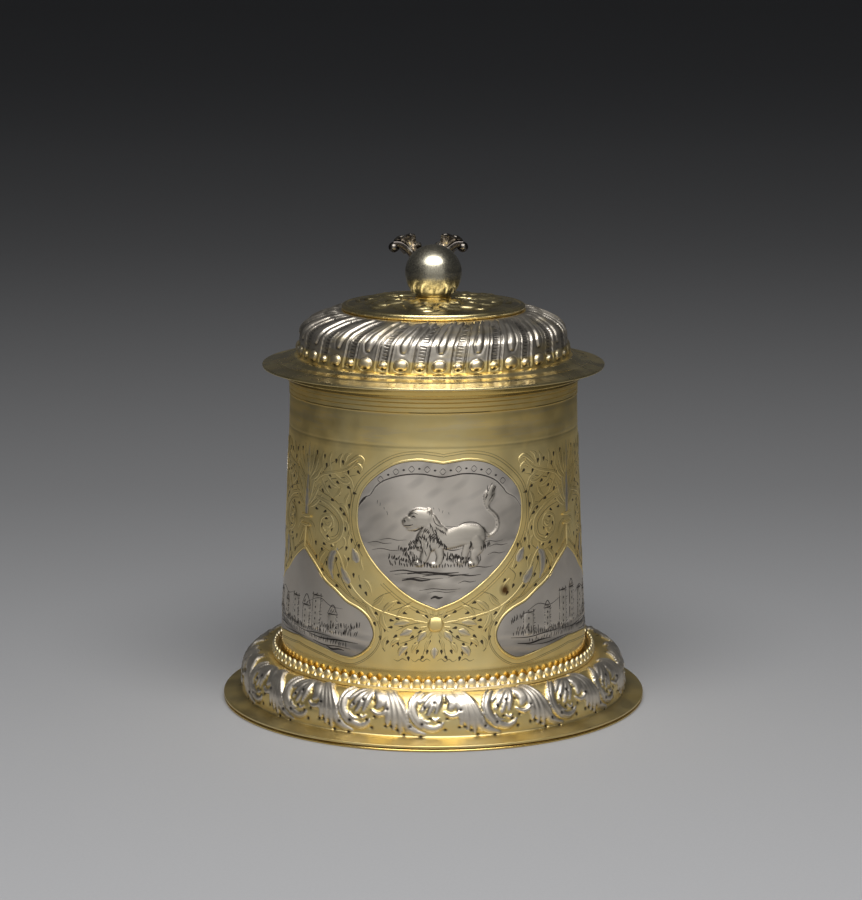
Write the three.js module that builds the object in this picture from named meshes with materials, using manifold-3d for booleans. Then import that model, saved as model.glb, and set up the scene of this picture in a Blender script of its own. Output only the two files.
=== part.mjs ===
// A parcel-gilt silver tankard: a tapered drum on an embossed skirt foot, a hollow scroll handle,
// and a gadrooned lid with a ball finial that swings on a five-knuckle hinge.
// Millimetres, +Z up, handle and hinge towards +Y. Heights are measured from the table and radii
// from the drum's axis, until the last lines put the origin under the middle of the whole.
import * as THREE from "three";
import { mergeVertices } from "three/addons/utils/BufferGeometryUtils.js";
import Module from "manifold-3d";

const wasm = await Module();
wasm.setup();

// Fits
const solderGap = 0.3; // between two pieces that solder joins
const lidSeatGap = 0.25; // between the closed lid and the lip
const knuckleGap = 0.3; // between neighbouring knuckles
const pinGap = 0.2; // round the hinge pin, in the knuckles
const bezelGap = 0.7; // between the lid's bezel and the mouth

// Foot
const footRadius = 88; // outer edge of the flange
const footWireHeight = 1.0;
const footWireWidth = 2.6;
const footSheet = 1.2;
const flangeRise = 1.2; // how far the flange climbs towards the wall
const footWallRadius = 80.1; // widest part of the embossed wall
const footWallHeight = 8.0; // where it is widest
const footShoulderRadius = 72.6; // crest of the wall
const footShoulderHeight = 19.9;
const ledgeHeight = 18.3; // top of the ledge that carries the drum
const ledgeInnerRadius = 60;
const wallSteps = 7; // faces up the quarter round of the foot
const footUnits = 17; // repeats of the embossed scroll
const footColumns = 8; // per unit
const footTurn = -0.159; // where the first unit begins, in radians
const embossDepth = 0.8; // height of the strokes
const embossSink = 0.2; // depth of the ground between them
// Strokes of one unit: half width, and the middle line's points as shares of the unit's width and of the
// way from the gallery down the wall.
const embossStrokes = [
  { reach: 1.7, line: [[0.17, 0.23], [0.05, 0.4], [0.05, 0.56], [0.13, 0.76], [0.3, 0.84], [0.44, 0.81]] }, // C scroll
  { reach: 1.5, line: [[-0.24, 0.19], [-0.11, 0.58], [-0.01, 0.8], [0.17, 0.91]] }, // stem
  { reach: 1.7, line: [[0.44, 0.26], [0.18, 0.48]] }, // palmette
  { reach: 1.6, line: [[0.44, 0.27], [0.3, 0.6]] },
  { reach: 1.6, line: [[0.51, 0.27], [0.6, 0.41], [0.59, 0.52]] }, // small volute
  { reach: 1, line: [[0.51, 0.6], [0.65, 0.63]] },
  { reach: 1.5, line: [[0.65, 0.22], [0.74, 0.47], [0.73, 0.78]] }, // leaf
  { reach: 1.5, line: [[0.67, 0.21], [0.81, 0.47], [0.83, 0.85]] },
  { reach: 1.5, line: [[0.68, 0.21], [0.89, 0.47], [0.92, 0.89]] },
  { reach: 1.5, line: [[0.67, 0.19], [0.92, 0.43], [1, 0.83]] },
];

// Drum
const drumBottomRadius = 63.9;
const drumTopRadius = 59.1;
const drumTaper = 1.3; // 1 is a straight cone, more is a hollow curve
const drumSheet = 1.3;
const mouthHeight = 134.8; // top of the lip
const lipHeight = 6.2;
const lipProud = 0.35; // how far the lip's reeds stand out from the drum
const baseHeight = 24; // underside of the drum's bottom disc
const baseSheet = 1.4;
const baseDish = 1.2; // how far its middle rises

// Heart panels on the drum: three upright, three hanging between them
const heartLift = 0.25;
const heartBorderLift = 0.4;
const heartBorderWidth = 2;
const heartSink = 0.5; // how deep their back lies in the wall
const heartRings = 4;
const heartLean = 0.0445; // degrees that the hearts lean for each mm of height
const leanMiddle = 0.442; // share of the drum's height where the lean is nil
// Right halves of the outlines, in degrees from the middle line and shares of the drum's height
const uprightHeart = [[0, 0.776], [10.5, 0.787], [18, 0.772], [25, 0.731], [30.5, 0.675], [32.2, 0.603],
  [30.9, 0.528], [26, 0.451], [18, 0.378], [9, 0.318], [0, 0.281]];
const uprightMiddle = 0.563;
const hangingHeart = [[0, 0.435], [7.3, 0.39], [13.3, 0.343], [19.3, 0.313], [24.8, 0.281], [30.5, 0.261],
  [34.6, 0.231], [36.9, 0.183], [35.1, 0.137], [30.3, 0.102], [25.4, 0.095], [13.5, 0.112], [0, 0.124]];
const hangingMiddle = 0.227;

// Gallery of small upright lobes round the bottom of the drum
const galleryInnerRadius = 65.3;
const galleryRadius = 67.5;
const galleryHeight = 5.1;
const galleryStrip = 1.4; // plain strip under the lobes
const galleryLobes = 95;
const lobeDepth = 0.8; // how far the gaps between lobes are cut in
const lobeDrop = 1.3; // and down

// Lid
const brimRadius = 70.4;
const brimLift = 4.7; // underside of the brim above the mouth
const brimEdge = 1.1;
const lidSheet = 1.2;
const brimTopRadius = 56.6; // where the brim meets the gadroons
const brimRise = 3.6; // from the brim's edge up to there
const gadroonTopRadius = 54.2;
const gadroonHeight = 10.8; // upright part of the gadroons
const shoulderRadius = 45.8; // on the slope above them
const shoulderRise = 5.8; // from the top of the upright part
const gadroonUnits = 23;
const gadroonColumns = 5; // per unit
const gadroonDepth = 0.9;
const gadroonTurn = -0.088; // where the first unit begins, in radians
const swirlAngle = 0.2; // how far the gadroons turn on their way up, in radians
const plateauRadius = 37.7;
const plateauSeatRise = 1.5; // from the shoulder to the plateau's seat
const plateauEdge = 2.7; // height of the plateau's rolled edge
const plateauCrown = 4.9; // height of its middle
const plateauSheet = 1.2;
const bezelDepth = 5.0; // below the mouth
const bezelSheet = 1.1;
const bezelStepRadius = 62.4; // the step that shows under the brim

// Finial
const ballRadius = 11.65;
const ballSeatRadius = 6.9; // flat under the ball
const collarRadius = 7.6;
const collarHeight = 0.8;
const finialPinRadius = 2.0;
const finialPinInBall = 7;
const finialPinTail = 3.4; // below the lid's inner face
const nutRadius = 6.0;
const nutHeight = 2.4;

// Hinge
const knuckleRadius = 3.2;
const knuckleLength = 3.7;
const hingePinRadius = 1.5;
const hingeAboveMouth = 6.2;
const hingeClearance = 0.7; // between the knuckles and the brim
const pinCapRadius = 2.5;
const pinCapLength = 1.3;
const handleLeaf = 1.4; // plate on the handle under the knuckles
const handleLeafLength = 11;
const knuckleFoot = 0.6; // how far the knuckles' feet reach below their rings
const lidLeafWidth = 17;
const lidLeafLength = 11; // from the brim's edge inwards
const lidLeafSheet = 1.3;
const lidLeafSeat = 2.2; // flat seat of the thumbpiece above the brim's slope
const lidKnuckleArm = 4.4; // from the pin to the arm's end

// Thumbpiece
const thumbThickness = 5.6;
const thumbBase = 13;
const thumbWaist = 6.4;
const thumbHeight = 41.7;
const thumbSpan = 33;
const thumbTipRadius = 4.1;
const thumbFork = 26.9; // height of the fork between the two scrolls

// Handle
const handleWidth = 20; // across, at the top
const handleTailWidth = 12;
const handleDepth = 9;
const handleSheet = 1.2;
const handleStandOff = 40.5; // from the drum's lower radius out to the handle's middle line
const handleLowHeight = 48; // where it meets the drum again
const handleEndRun = 3; // straight run into each joint
const upperPlate = 2.6;
const upperPlateWidth = 24;
const upperPlateHeight = 12;
const lowerPad = 2.4;
const lowerPadWidth = 16;
const lowerPadHeight = 15;
const plateCorner = 3;
const ribWidth = 5;
const ribTailWidth = 1.6;
const ribHeight = 1.5;
const shieldWidth = 17;
const shieldHeight = 17;
const shieldThickness = 1.8;
const shieldLean = 0.3; // radians away from the drum

const roundSteps = 48; // faces round the axis
const smallSteps = 20; // faces round knuckles, pins and caps
const sweepSteps = 26; // stations along the handle

// Heights and places that follow from the sizes above
const flangeBottom = footWireHeight + solderGap;
const drumBottom = ledgeHeight + solderGap;
const lipBottom = mouthHeight - lipHeight;
const lipOuterRadius = drumTopRadius + lipProud;
const lipInnerRadius = drumTopRadius - drumSheet;
const brimUnder = mouthHeight + brimLift;
const brimTop = brimUnder + brimEdge;
const gadroonBottom = brimTop + brimRise;
const gadroonTop = gadroonBottom + gadroonHeight;
const shoulderTop = gadroonTop + shoulderRise;
const plateauSeat = shoulderTop + plateauSeatRise;
const plateauTop = plateauSeat + plateauCrown;
const ballSeat = plateauTop + collarHeight;
const ballCentre = ballSeat + Math.sqrt(ballRadius ** 2 - ballSeatRadius ** 2);
const finialHole = finialPinRadius + solderGap;
const hingeY = brimRadius + hingeClearance + knuckleRadius;
const hingeZ = mouthHeight + hingeAboveMouth;
const knucklePitch = knuckleLength + knuckleGap;
const hingeHalf = 2 * knucklePitch + knuckleLength / 2;
const knuckleBottom = hingeZ - knuckleRadius - knuckleFoot;
const handleTop = knuckleBottom - handleLeaf - solderGap - handleDepth / 2;
const brimSlope = brimRise / (brimRadius - brimTopRadius);

function drumRadiusAt(height) {
  const up = (height - drumBottom) / (mouthHeight - drumBottom);
  return drumTopRadius + (drumBottomRadius - drumTopRadius) * (1 - up) ** drumTaper;
}

function brimHeightAt(radius) {
  return brimTop + (brimRadius - radius) * brimSlope;
}

// Materials
const silver = { color: 0xb8b2aa, roughness: 0.28, metalness: 1 };
const gilt = { color: 0xc2a560, roughness: 0.3, metalness: 1 };

function pieceOf(name, geometry, finish) {
  const mesh = new THREE.Mesh(geometry, new THREE.MeshStandardMaterial(finish));
  mesh.name = name;
  return mesh;
}

// Solid of revolution about Z. The outline is a list of [radius, height] with the outer side going
// up; it starts and ends on the axis, or it is closed here.
function revolve(outline, steps = roundSteps) {
  const points = outline.map(([radius, height]) => new THREE.Vector2(radius, height));
  const first = points[0];
  const last = points[points.length - 1];
  if (first.x > 0 || last.x > 0) points.push(first.clone());
  return new THREE.LatheGeometry(points, steps).rotateX(Math.PI / 2);
}

// Ring whose section changes on its way round. sectionAt(column) lists [radius, height, turn].
function ringOfSections(columns, sectionAt) {
  const positions = [];
  const indices = [];
  for (let column = 0; column < columns; column += 1) {
    for (const [radius, height, turn = 0] of sectionAt(column)) {
      const angle = (2 * Math.PI * column) / columns + turn;
      positions.push(radius * Math.sin(angle), -radius * Math.cos(angle), height);
    }
  }
  const rows = positions.length / 3 / columns;
  for (let column = 0; column < columns; column += 1) {
    const here = column * rows;
    const next = ((column + 1) % columns) * rows;
    for (let row = 0; row < rows; row += 1) {
      const above = (row + 1) % rows;
      indices.push(here + row, next + row, next + above);
      indices.push(here + row, next + above, here + above);
    }
  }
  return indexedGeometry(positions, indices);
}

function indexedGeometry(positions, indices) {
  const geometry = new THREE.BufferGeometry();
  geometry.setAttribute("position", new THREE.Float32BufferAttribute(positions, 3));
  geometry.setIndex(indices);
  geometry.computeVertexNormals();
  return geometry;
}

// Outline in the YZ plane, pushed out along X and centred on middleX.
function slabAcross(shape, width, middleX = 0) {
  const turn = new THREE.Matrix4().makeBasis(
    new THREE.Vector3(0, 1, 0),
    new THREE.Vector3(0, 0, 1),
    new THREE.Vector3(1, 0, 0),
  );
  const geometry = new THREE.ExtrudeGeometry(shape, { depth: width, bevelEnabled: false, curveSegments: 5 });
  return geometry.applyMatrix4(turn).translate(middleX - width / 2, 0, 0);
}

// Outline in the XZ plane, pushed out along Y from nearY to farY.
function slabBack(shape, nearY, farY, curveSegments = 4) {
  const depth = farY - nearY;
  const geometry = new THREE.ExtrudeGeometry(shape, { depth, bevelEnabled: false, curveSegments });
  return geometry.rotateX(Math.PI / 2).translate(0, farY, 0);
}

function roundedPlate(width, height, middleZ, corner) {
  const halfWidth = width / 2;
  const halfHeight = height / 2;
  const shape = new THREE.Shape();
  shape.absarc(halfWidth - corner, middleZ - halfHeight + corner, corner, -Math.PI / 2, 0);
  shape.absarc(halfWidth - corner, middleZ + halfHeight - corner, corner, 0, Math.PI / 2);
  shape.absarc(corner - halfWidth, middleZ + halfHeight - corner, corner, Math.PI / 2, Math.PI);
  shape.absarc(corner - halfWidth, middleZ - halfHeight + corner, corner, Math.PI, 1.5 * Math.PI);
  shape.closePath();
  return shape;
}

function toSolid(geometry) {
  const bare = geometry.clone();
  bare.deleteAttribute("normal");
  bare.deleteAttribute("uv");
  const merged = mergeVertices(bare, 1e-4);
  const vertProperties = new Float32Array(merged.attributes.position.array);
  const triVerts = new Uint32Array(merged.index.array);
  return new wasm.Manifold(new wasm.Mesh({ numProp: 3, vertProperties, triVerts }));
}

function cutAway(geometry, tool) {
  const { vertProperties, triVerts } = toSolid(geometry).subtract(toSolid(tool)).getMesh();
  return indexedGeometry(Array.from(vertProperties), Array.from(triVerts));
}

function joinOn(geometry, additions) {
  const whole = additions.reduce((solid, addition) => solid.add(toSolid(addition)), toSolid(geometry));
  const { vertProperties, triVerts } = whole.getMesh();
  return indexedGeometry(Array.from(vertProperties), Array.from(triVerts));
}

// Foot

function footWire() {
  return revolve([
    [footRadius - footWireWidth, 0],
    [footRadius - 0.4, 0],
    [footRadius - 0.1, footWireHeight / 2],
    [footRadius - 0.4, footWireHeight],
    [footRadius - footWireWidth, footWireHeight],
  ]);
}

// Quarter round of the wall as [radius, height, out, up]; out and up give its outward direction.
function footWall(sheet) {
  const points = [];
  for (let step = 0; step <= wallSteps; step += 1) {
    const angle = (step / wallSteps) * (Math.PI / 2);
    points.push([
      footShoulderRadius + (footWallRadius - footShoulderRadius - sheet) * Math.cos(angle),
      footWallHeight + (footShoulderHeight - footWallHeight - sheet) * Math.sin(angle),
      Math.cos(angle),
      Math.sin(angle),
    ]);
  }
  return points;
}

// Distance from a point to the run between two others.
function distanceToRun([x, y], [startX, startY], [endX, endY]) {
  const runX = endX - startX;
  const runY = endY - startY;
  const share = ((x - startX) * runX + (y - startY) * runY) / (runX * runX + runY * runY);
  const t = THREE.MathUtils.clamp(share, 0, 1);
  return Math.hypot(x - startX - t * runX, y - startY - t * runY);
}

// Height of the embossing at a share of the unit's width and of the wall's length.
function embossAt(across, down, unitWidth, wallLength) {
  let rise = 0;
  for (const { reach, line } of embossStrokes) {
    for (let run = 0; run + 1 < line.length; run += 1) {
      const [start, end] = [line[run], line[run + 1]].map(([x, y]) => [x * unitWidth, y * wallLength]);
      for (const shift of [-1, 0, 1]) {
        const point = [(across + shift) * unitWidth, down * wallLength];
        const share = Math.min(distanceToRun(point, start, end) / reach, 1);
        rise = Math.max(rise, Math.sqrt(1 - share ** 2));
      }
    }
  }
  return (embossDepth + embossSink) * rise - embossSink;
}

function footSkirt() {
  const flangeTop = flangeBottom + footSheet;
  const wallFoot = flangeTop + flangeRise;
  const plainFoot = (wallFoot + footWallHeight) / 2;
  const wall = [[footWallRadius, plainFoot, 1, 0], ...footWall(0)];
  // lengths down the wall, from the gallery's edge
  const crest = footShoulderRadius - galleryRadius;
  const lengths = wall.map(() => crest);
  for (let row = wall.length - 2; row >= 0; row -= 1) {
    lengths[row] = lengths[row + 1] + Math.hypot(wall[row][0] - wall[row + 1][0], wall[row][1] - wall[row + 1][1]);
  }
  const wallLength = lengths[0] + plainFoot - wallFoot;
  const unitWidth = (2 * Math.PI * (footWallRadius + footShoulderRadius)) / 2 / footUnits;
  return ringOfSections(footUnits * footColumns, (column) => {
    const across = (column % footColumns) / footColumns;
    const embossed = wall.map(([radius, height, out, up], row) => {
      const lift = embossAt(across, lengths[row] / wallLength, unitWidth, wallLength);
      return [radius + out * lift, height + up * lift];
    });
    const section = [
      [footRadius, flangeBottom],
      [footRadius, flangeTop],
      [footWallRadius, wallFoot],
      ...embossed,
      [galleryRadius, ledgeHeight],
      [ledgeInnerRadius, ledgeHeight],
      [ledgeInnerRadius, ledgeHeight - footSheet],
      [galleryRadius, ledgeHeight - footSheet],
      ...footWall(footSheet).reverse(),
      [footWallRadius - footSheet, wallFoot - footSheet],
      [footRadius - footWireWidth, flangeBottom],
    ];
    return section.map(([radius, height]) => [radius, height, footTurn]);
  });
}

// Gallery

function galleryRing() {
  const bottom = ledgeHeight + solderGap;
  const top = ledgeHeight + galleryHeight;
  const stripTop = bottom + galleryStrip;
  const middle = (stripTop + top) / 2;
  return ringOfSections(2 * galleryLobes, (column) => {
    const gap = column % 2;
    return [
      [galleryRadius, bottom],
      [galleryRadius, stripTop],
      [galleryRadius - 0.2 - gap * lobeDepth, middle - gap * lobeDrop / 2],
      [galleryRadius - 1, top - gap * lobeDrop],
      [galleryInnerRadius, top - 0.4 - gap * lobeDrop],
      [galleryInnerRadius, bottom],
    ];
  });
}

// Drum

// The drum's face is embossed with heart panels inside raised borders. Turn is in degrees; grow leaves
// room round the panel.
function heartPanel(half, middleShare, turn, grow = 0) {
  const faceHeight = mouthHeight - drumBottom;
  const left = half.slice(1, -1).reverse().map(([degrees, share]) => [-degrees, share]);
  const outline = [...half, ...left].map(([degrees, share]) => [degrees, drumBottom + share * faceHeight]);
  const middle = [0, drumBottom + middleShare * faceHeight];
  const degreeWidth = (Math.PI / 180) * drumBottomRadius;
  const scaled = (share) => outline.map((point) => point.map((value, axis) => middle[axis] + (value - middle[axis]) * share));
  const widened = (distance) => outline.map(([degrees, height], index) => {
    const before = outline.at(index - 1);
    const after = outline[(index + 1) % outline.length];
    const x = (after[0] - before[0]) * degreeWidth;
    const z = after[1] - before[1];
    const length = Math.hypot(x, z);
    return [degrees - ((z / length) * distance) / degreeWidth, height + (x / length) * distance];
  });
  const inner = Array.from({ length: heartRings }, (_, ring) => scaled((ring + 1) / heartRings));
  const edge = widened(heartBorderWidth + grow);
  const rings = [
    ...inner.map((ring) => [ring, heartLift + grow]),
    [widened(heartBorderWidth / 2), heartBorderLift + grow],
    [edge, -heartSink / 2],
    [edge, -heartSink],
    ...inner.toReversed().map((ring) => [ring, -heartSink]),
  ];
  const positions = [];
  const place = ([degrees, height], lift) => {
    const lean = heartLean * (height - drumBottom - leanMiddle * faceHeight);
    const angle = THREE.MathUtils.degToRad(turn + degrees + lean);
    const radius = drumRadiusAt(height) + lift;
    positions.push(radius * Math.sin(angle), -radius * Math.cos(angle), height);
  };
  place(middle, heartLift + grow);
  rings.forEach(([ring, lift]) => ring.forEach((point) => place(point, lift)));
  place(middle, -heartSink);
  const count = outline.length;
  const last = rings.length * count + 1;
  const indices = [];
  for (let corner = 0; corner < count; corner += 1) {
    const next = (corner + 1) % count;
    indices.push(0, 1 + next, 1 + corner);
    for (let ring = 0; ring + 1 < rings.length; ring += 1) {
      const here = 1 + ring * count;
      const further = here + count;
      indices.push(here + corner, here + next, further + next);
      indices.push(here + corner, further + next, further + corner);
    }
    indices.push(last, last - count + corner, last - count + next);
  }
  return indexedGeometry(positions, indices);
}

function drumHeights() {
  const steps = 4;
  return Array.from({ length: steps + 1 }, (_, step) => drumBottom + ((lipBottom - drumBottom) * step) / steps);
}

function drumWall() {
  const heights = drumHeights();
  const wall = revolve([
    ...heights.map((height) => [drumRadiusAt(height), height]),
    ...heights.reverse().map((height) => [drumRadiusAt(height) - drumSheet, height]),
  ]);
  const panels = [];
  for (let turn = 0; turn < 360; turn += 120) {
    panels.push(heartPanel(uprightHeart, uprightMiddle, turn), heartPanel(hangingHeart, hangingMiddle, turn + 60));
  }
  return joinOn(wall, panels);
}

function drumBase() {
  const rim = drumRadiusAt(baseHeight) - drumSheet - solderGap;
  return revolve([
    [0, baseHeight + baseDish],
    [rim * 0.7, baseHeight],
    [rim, baseHeight],
    [rim, baseHeight + baseSheet],
    [rim * 0.7, baseHeight + baseSheet],
    [0, baseHeight + baseDish + baseSheet],
  ]);
}

function lipMoulding() {
  const reed = lipHeight * 0.4;
  return revolve([
    [lipInnerRadius, lipBottom],
    [lipOuterRadius, lipBottom],
    [lipOuterRadius, lipBottom + reed],
    [lipOuterRadius - 0.25, lipBottom + reed + 0.35],
    [lipOuterRadius, lipBottom + reed + 0.7],
    [lipOuterRadius, mouthHeight - 0.4],
    [lipOuterRadius - 0.4, mouthHeight],
    [lipInnerRadius, mouthHeight],
  ]);
}

// The drum with its lip, grown by the solder gap: what the handle's joints are cut to.
function drumEnvelope() {
  const heights = drumHeights();
  const plain = revolve([
    [0, drumBottom],
    ...heights.map((height) => [drumRadiusAt(height) + solderGap, height]),
    [lipOuterRadius + solderGap, lipBottom],
    [lipOuterRadius + solderGap, mouthHeight + solderGap],
    [0, mouthHeight + solderGap],
  ]);
  return joinOn(plain, [heartPanel(hangingHeart, hangingMiddle, 180, solderGap)]);
}

// Lid

// One unit is a groove, the wide lobe, a groove and the narrow lobe.
const gadroonRelief = [-0.5, 0.7, 0.7, -0.5, -0.3];

function lidShell() {
  return ringOfSections(gadroonUnits * gadroonColumns, (column) => {
    const relief = gadroonDepth * gadroonRelief[column % gadroonColumns];
    const section = [
      [brimRadius, brimUnder],
      [brimRadius, brimTop],
      [brimTopRadius + 1.6, brimHeightAt(brimTopRadius + 1.6)],
      [brimTopRadius - 0.8, gadroonBottom],
      [gadroonTopRadius + 0.9 + relief, gadroonBottom + 0.45 * gadroonHeight, swirlAngle * 0.05],
      [gadroonTopRadius + relief, gadroonTop, swirlAngle * 0.15],
      [gadroonTopRadius - 2.2 + relief * 0.8, gadroonTop + 0.48 * shoulderRise, swirlAngle * 0.3],
      [shoulderRadius, shoulderTop + relief * 0.5, swirlAngle * 0.6],
      [plateauRadius, plateauSeat, swirlAngle],
      [finialHole, plateauSeat, swirlAngle],
      [finialHole, plateauSeat - lidSheet, swirlAngle],
      [shoulderRadius - lidSheet, shoulderTop - 1.6 * lidSheet, swirlAngle * 0.6],
      [gadroonTopRadius - 1.9 * lidSheet, gadroonTop, swirlAngle * 0.15],
      [brimTopRadius - 0.8 - 1.6 * lidSheet, gadroonBottom - lidSheet],
      [brimRadius - 0.9, brimUnder],
    ];
    return section.map(([radius, height, turn = 0]) => [radius, height, turn + gadroonTurn]);
  });
}

function lidUnderAt(radius) {
  const inner = brimTopRadius - 0.8 - 1.6 * lidSheet;
  const slope = (gadroonBottom - lidSheet - brimUnder) / (brimRadius - 0.9 - inner);
  return brimUnder + (brimRadius - 0.9 - radius) * slope;
}

function lidBezel() {
  const seat = mouthHeight + lidSeatGap;
  const outer = lipInnerRadius - bezelGap;
  const inner = outer - bezelSheet;
  const skirtInner = bezelStepRadius - bezelSheet;
  return revolve([
    [inner, mouthHeight - bezelDepth],
    [outer, mouthHeight - bezelDepth],
    [outer, seat],
    [bezelStepRadius, seat],
    [bezelStepRadius, lidUnderAt(bezelStepRadius) - solderGap],
    [skirtInner, lidUnderAt(skirtInner) - solderGap],
    [skirtInner, seat + bezelSheet],
    [inner, seat + bezelSheet],
  ]);
}

function lidPlateau() {
  const edgeRadius = plateauRadius - 1.2;
  const shelf = plateauSeat + plateauEdge;
  return revolve([
    [plateauRadius, plateauSeat],
    [plateauRadius, plateauSeat + 0.45 * plateauEdge],
    [edgeRadius, shelf],
    [0.55 * plateauRadius, plateauTop - 0.7],
    [collarRadius, plateauTop],
    [finialHole, plateauTop],
    [finialHole, plateauTop - plateauSheet],
    [0.55 * plateauRadius, plateauTop - 0.7 - plateauSheet],
    [edgeRadius - plateauSheet, shelf - plateauSheet],
    [plateauRadius - plateauSheet, plateauSeat],
  ]);
}

// Finial

function finialCollar() {
  return revolve([
    [finialHole, plateauTop],
    [collarRadius, plateauTop],
    [collarRadius - 0.3, plateauTop + 0.6 * collarHeight],
    [ballSeatRadius, ballSeat],
    [finialHole, ballSeat],
  ], 24);
}

function finialBall() {
  const rings = 12;
  const start = Math.asin(ballSeatRadius / ballRadius);
  const skin = Array.from({ length: rings + 1 }, (_, ring) => {
    const angle = start + ((Math.PI - start) * ring) / rings;
    const radius = ring === rings ? 0 : ballRadius * Math.sin(angle);
    return [radius, ballCentre - ballRadius * Math.cos(angle)];
  });
  const holeTop = ballSeat + finialPinInBall + solderGap;
  return revolve([[0, holeTop], [finialHole, holeTop], [finialHole, ballSeat], ...skin], 28);
}

function finialPin() {
  return revolve([
    [0, plateauSeat - lidSheet - finialPinTail],
    [finialPinRadius, plateauSeat - lidSheet - finialPinTail],
    [finialPinRadius, ballSeat + finialPinInBall],
    [0, ballSeat + finialPinInBall],
  ], smallSteps);
}

function finialNut() {
  const top = plateauSeat - lidSheet - solderGap;
  return revolve([
    [finialHole, top - nutHeight],
    [nutRadius - 1, top - nutHeight],
    [nutRadius, top - 0.4 * nutHeight],
    [nutRadius, top],
    [finialHole, top],
  ], 24);
}

// Hinge

function knuckleX(index) {
  return (index - 2) * knucklePitch;
}

function withPinHole(shape) {
  const hole = new THREE.Path();
  hole.absarc(hingeY, hingeZ, hingePinRadius + pinGap, 0, 2 * Math.PI, true);
  shape.holes.push(hole);
  return shape;
}

// A ring with a foot that stands on the handle's leaf.
function handleKnuckle(index) {
  const shape = new THREE.Shape();
  shape.absarc(hingeY, hingeZ, knuckleRadius, 0, Math.PI);
  shape.lineTo(hingeY - knuckleRadius, knuckleBottom);
  shape.lineTo(hingeY + knuckleRadius, knuckleBottom);
  shape.closePath();
  return slabAcross(withPinHole(shape), knuckleLength, knuckleX(index));
}

// A ring with an arm that reaches over the brim's edge to the lid's leaf.
function lidKnuckle(index) {
  const armEnd = hingeY - lidKnuckleArm;
  const armUnder = brimHeightAt(armEnd) + solderGap;
  const shape = new THREE.Shape();
  shape.absarc(hingeY, hingeZ, knuckleRadius, Math.PI, 2.5 * Math.PI);
  shape.lineTo(armEnd, hingeZ + knuckleRadius);
  shape.lineTo(armEnd, armUnder);
  shape.lineTo(hingeY - knuckleRadius, armUnder);
  shape.closePath();
  return slabAcross(withPinHole(shape), knuckleLength, knuckleX(index));
}

function lidLeaf() {
  const outer = hingeY - lidKnuckleArm - solderGap;
  const inner = brimRadius - lidLeafLength;
  const seat = thumbSeatHeight();
  const shape = new THREE.Shape();
  shape.moveTo(inner, brimHeightAt(inner) + solderGap);
  shape.lineTo(outer, brimHeightAt(outer) + solderGap);
  shape.lineTo(outer, hingeZ + knuckleRadius);
  shape.lineTo(thumbFarY() + 0.6, seat);
  shape.lineTo(thumbNearY() - 0.6, seat);
  shape.lineTo(inner, brimHeightAt(inner) + solderGap + lidLeafSheet);
  shape.closePath();
  return slabAcross(shape, lidLeafWidth);
}

function hingePin() {
  const length = 2 * (hingeHalf + 0.2);
  return new THREE.CylinderGeometry(hingePinRadius, hingePinRadius, length, smallSteps)
    .rotateZ(Math.PI / 2)
    .translate(0, hingeY, hingeZ);
}

function pinCap(side) {
  const start = hingeHalf + 0.2 + solderGap;
  return revolve([
    [0, start],
    [pinCapRadius, start],
    [pinCapRadius, start + 0.5 * pinCapLength],
    [0.6 * pinCapRadius, start + pinCapLength],
    [0, start + pinCapLength],
  ], smallSteps)
    .rotateY((side * Math.PI) / 2)
    .translate(0, hingeY, hingeZ);
}

// Thumbpiece

function thumbFarY() {
  return brimRadius - 2.4;
}

function thumbNearY() {
  return thumbFarY() - thumbThickness;
}

function thumbSeatHeight() {
  return brimHeightAt(thumbNearY()) + solderGap + lidLeafSeat;
}

// Right half of the outline from the foot to the fork, then its mirror image.
function thumbpiece() {
  const tipX = thumbSpan / 2 - thumbTipRadius;
  const tipZ = thumbHeight - thumbTipRadius;
  const half = new THREE.Path();
  half.moveTo(thumbBase / 2, 0);
  half.lineTo(thumbBase / 2, 2);
  half.quadraticCurveTo(thumbWaist / 2, 6, thumbWaist / 2, 14);
  half.quadraticCurveTo(thumbWaist / 2, tipZ - thumbTipRadius, tipX, tipZ - thumbTipRadius);
  half.absarc(tipX, tipZ, thumbTipRadius, -Math.PI / 2, 0.7 * Math.PI, false);
  half.quadraticCurveTo(0.25 * tipX, thumbHeight - thumbTipRadius, 0, thumbFork);
  const right = half.getPoints(5);
  const left = right.slice(0, -1).reverse().map((point) => new THREE.Vector2(-point.x, point.y));
  const outline = [...right, ...left].map((point) => point.clone().setY(point.y + thumbSeatHeight()));
  return slabBack(new THREE.Shape(outline), thumbNearY(), thumbFarY());
}

// Handle

const handleStartY = drumRadiusAt(handleTop) + solderGap + upperPlate + solderGap;
const handleEndY = drumRadiusAt(handleLowHeight) + solderGap + lowerPad + solderGap;
const handleStartZ = handleTop - 3;
const handleBackY = drumBottomRadius + handleStandOff;
const handleDrop = handleTop - handleLowHeight;

const handleSpine = new THREE.CatmullRomCurve3([
  new THREE.Vector3(0, handleStartY, handleStartZ),
  new THREE.Vector3(0, handleStartY + handleEndRun, handleStartZ),
  new THREE.Vector3(0, hingeY, handleTop),
  new THREE.Vector3(0, handleBackY - 13, handleTop - 0.06 * handleDrop),
  new THREE.Vector3(0, handleBackY, handleTop - 0.34 * handleDrop),
  new THREE.Vector3(0, handleBackY - 5, handleTop - 0.64 * handleDrop),
  new THREE.Vector3(0, handleBackY - 20, handleTop - 0.88 * handleDrop),
  new THREE.Vector3(0, handleEndY + handleEndRun, handleLowHeight),
  new THREE.Vector3(0, handleEndY, handleLowHeight),
]);

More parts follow.
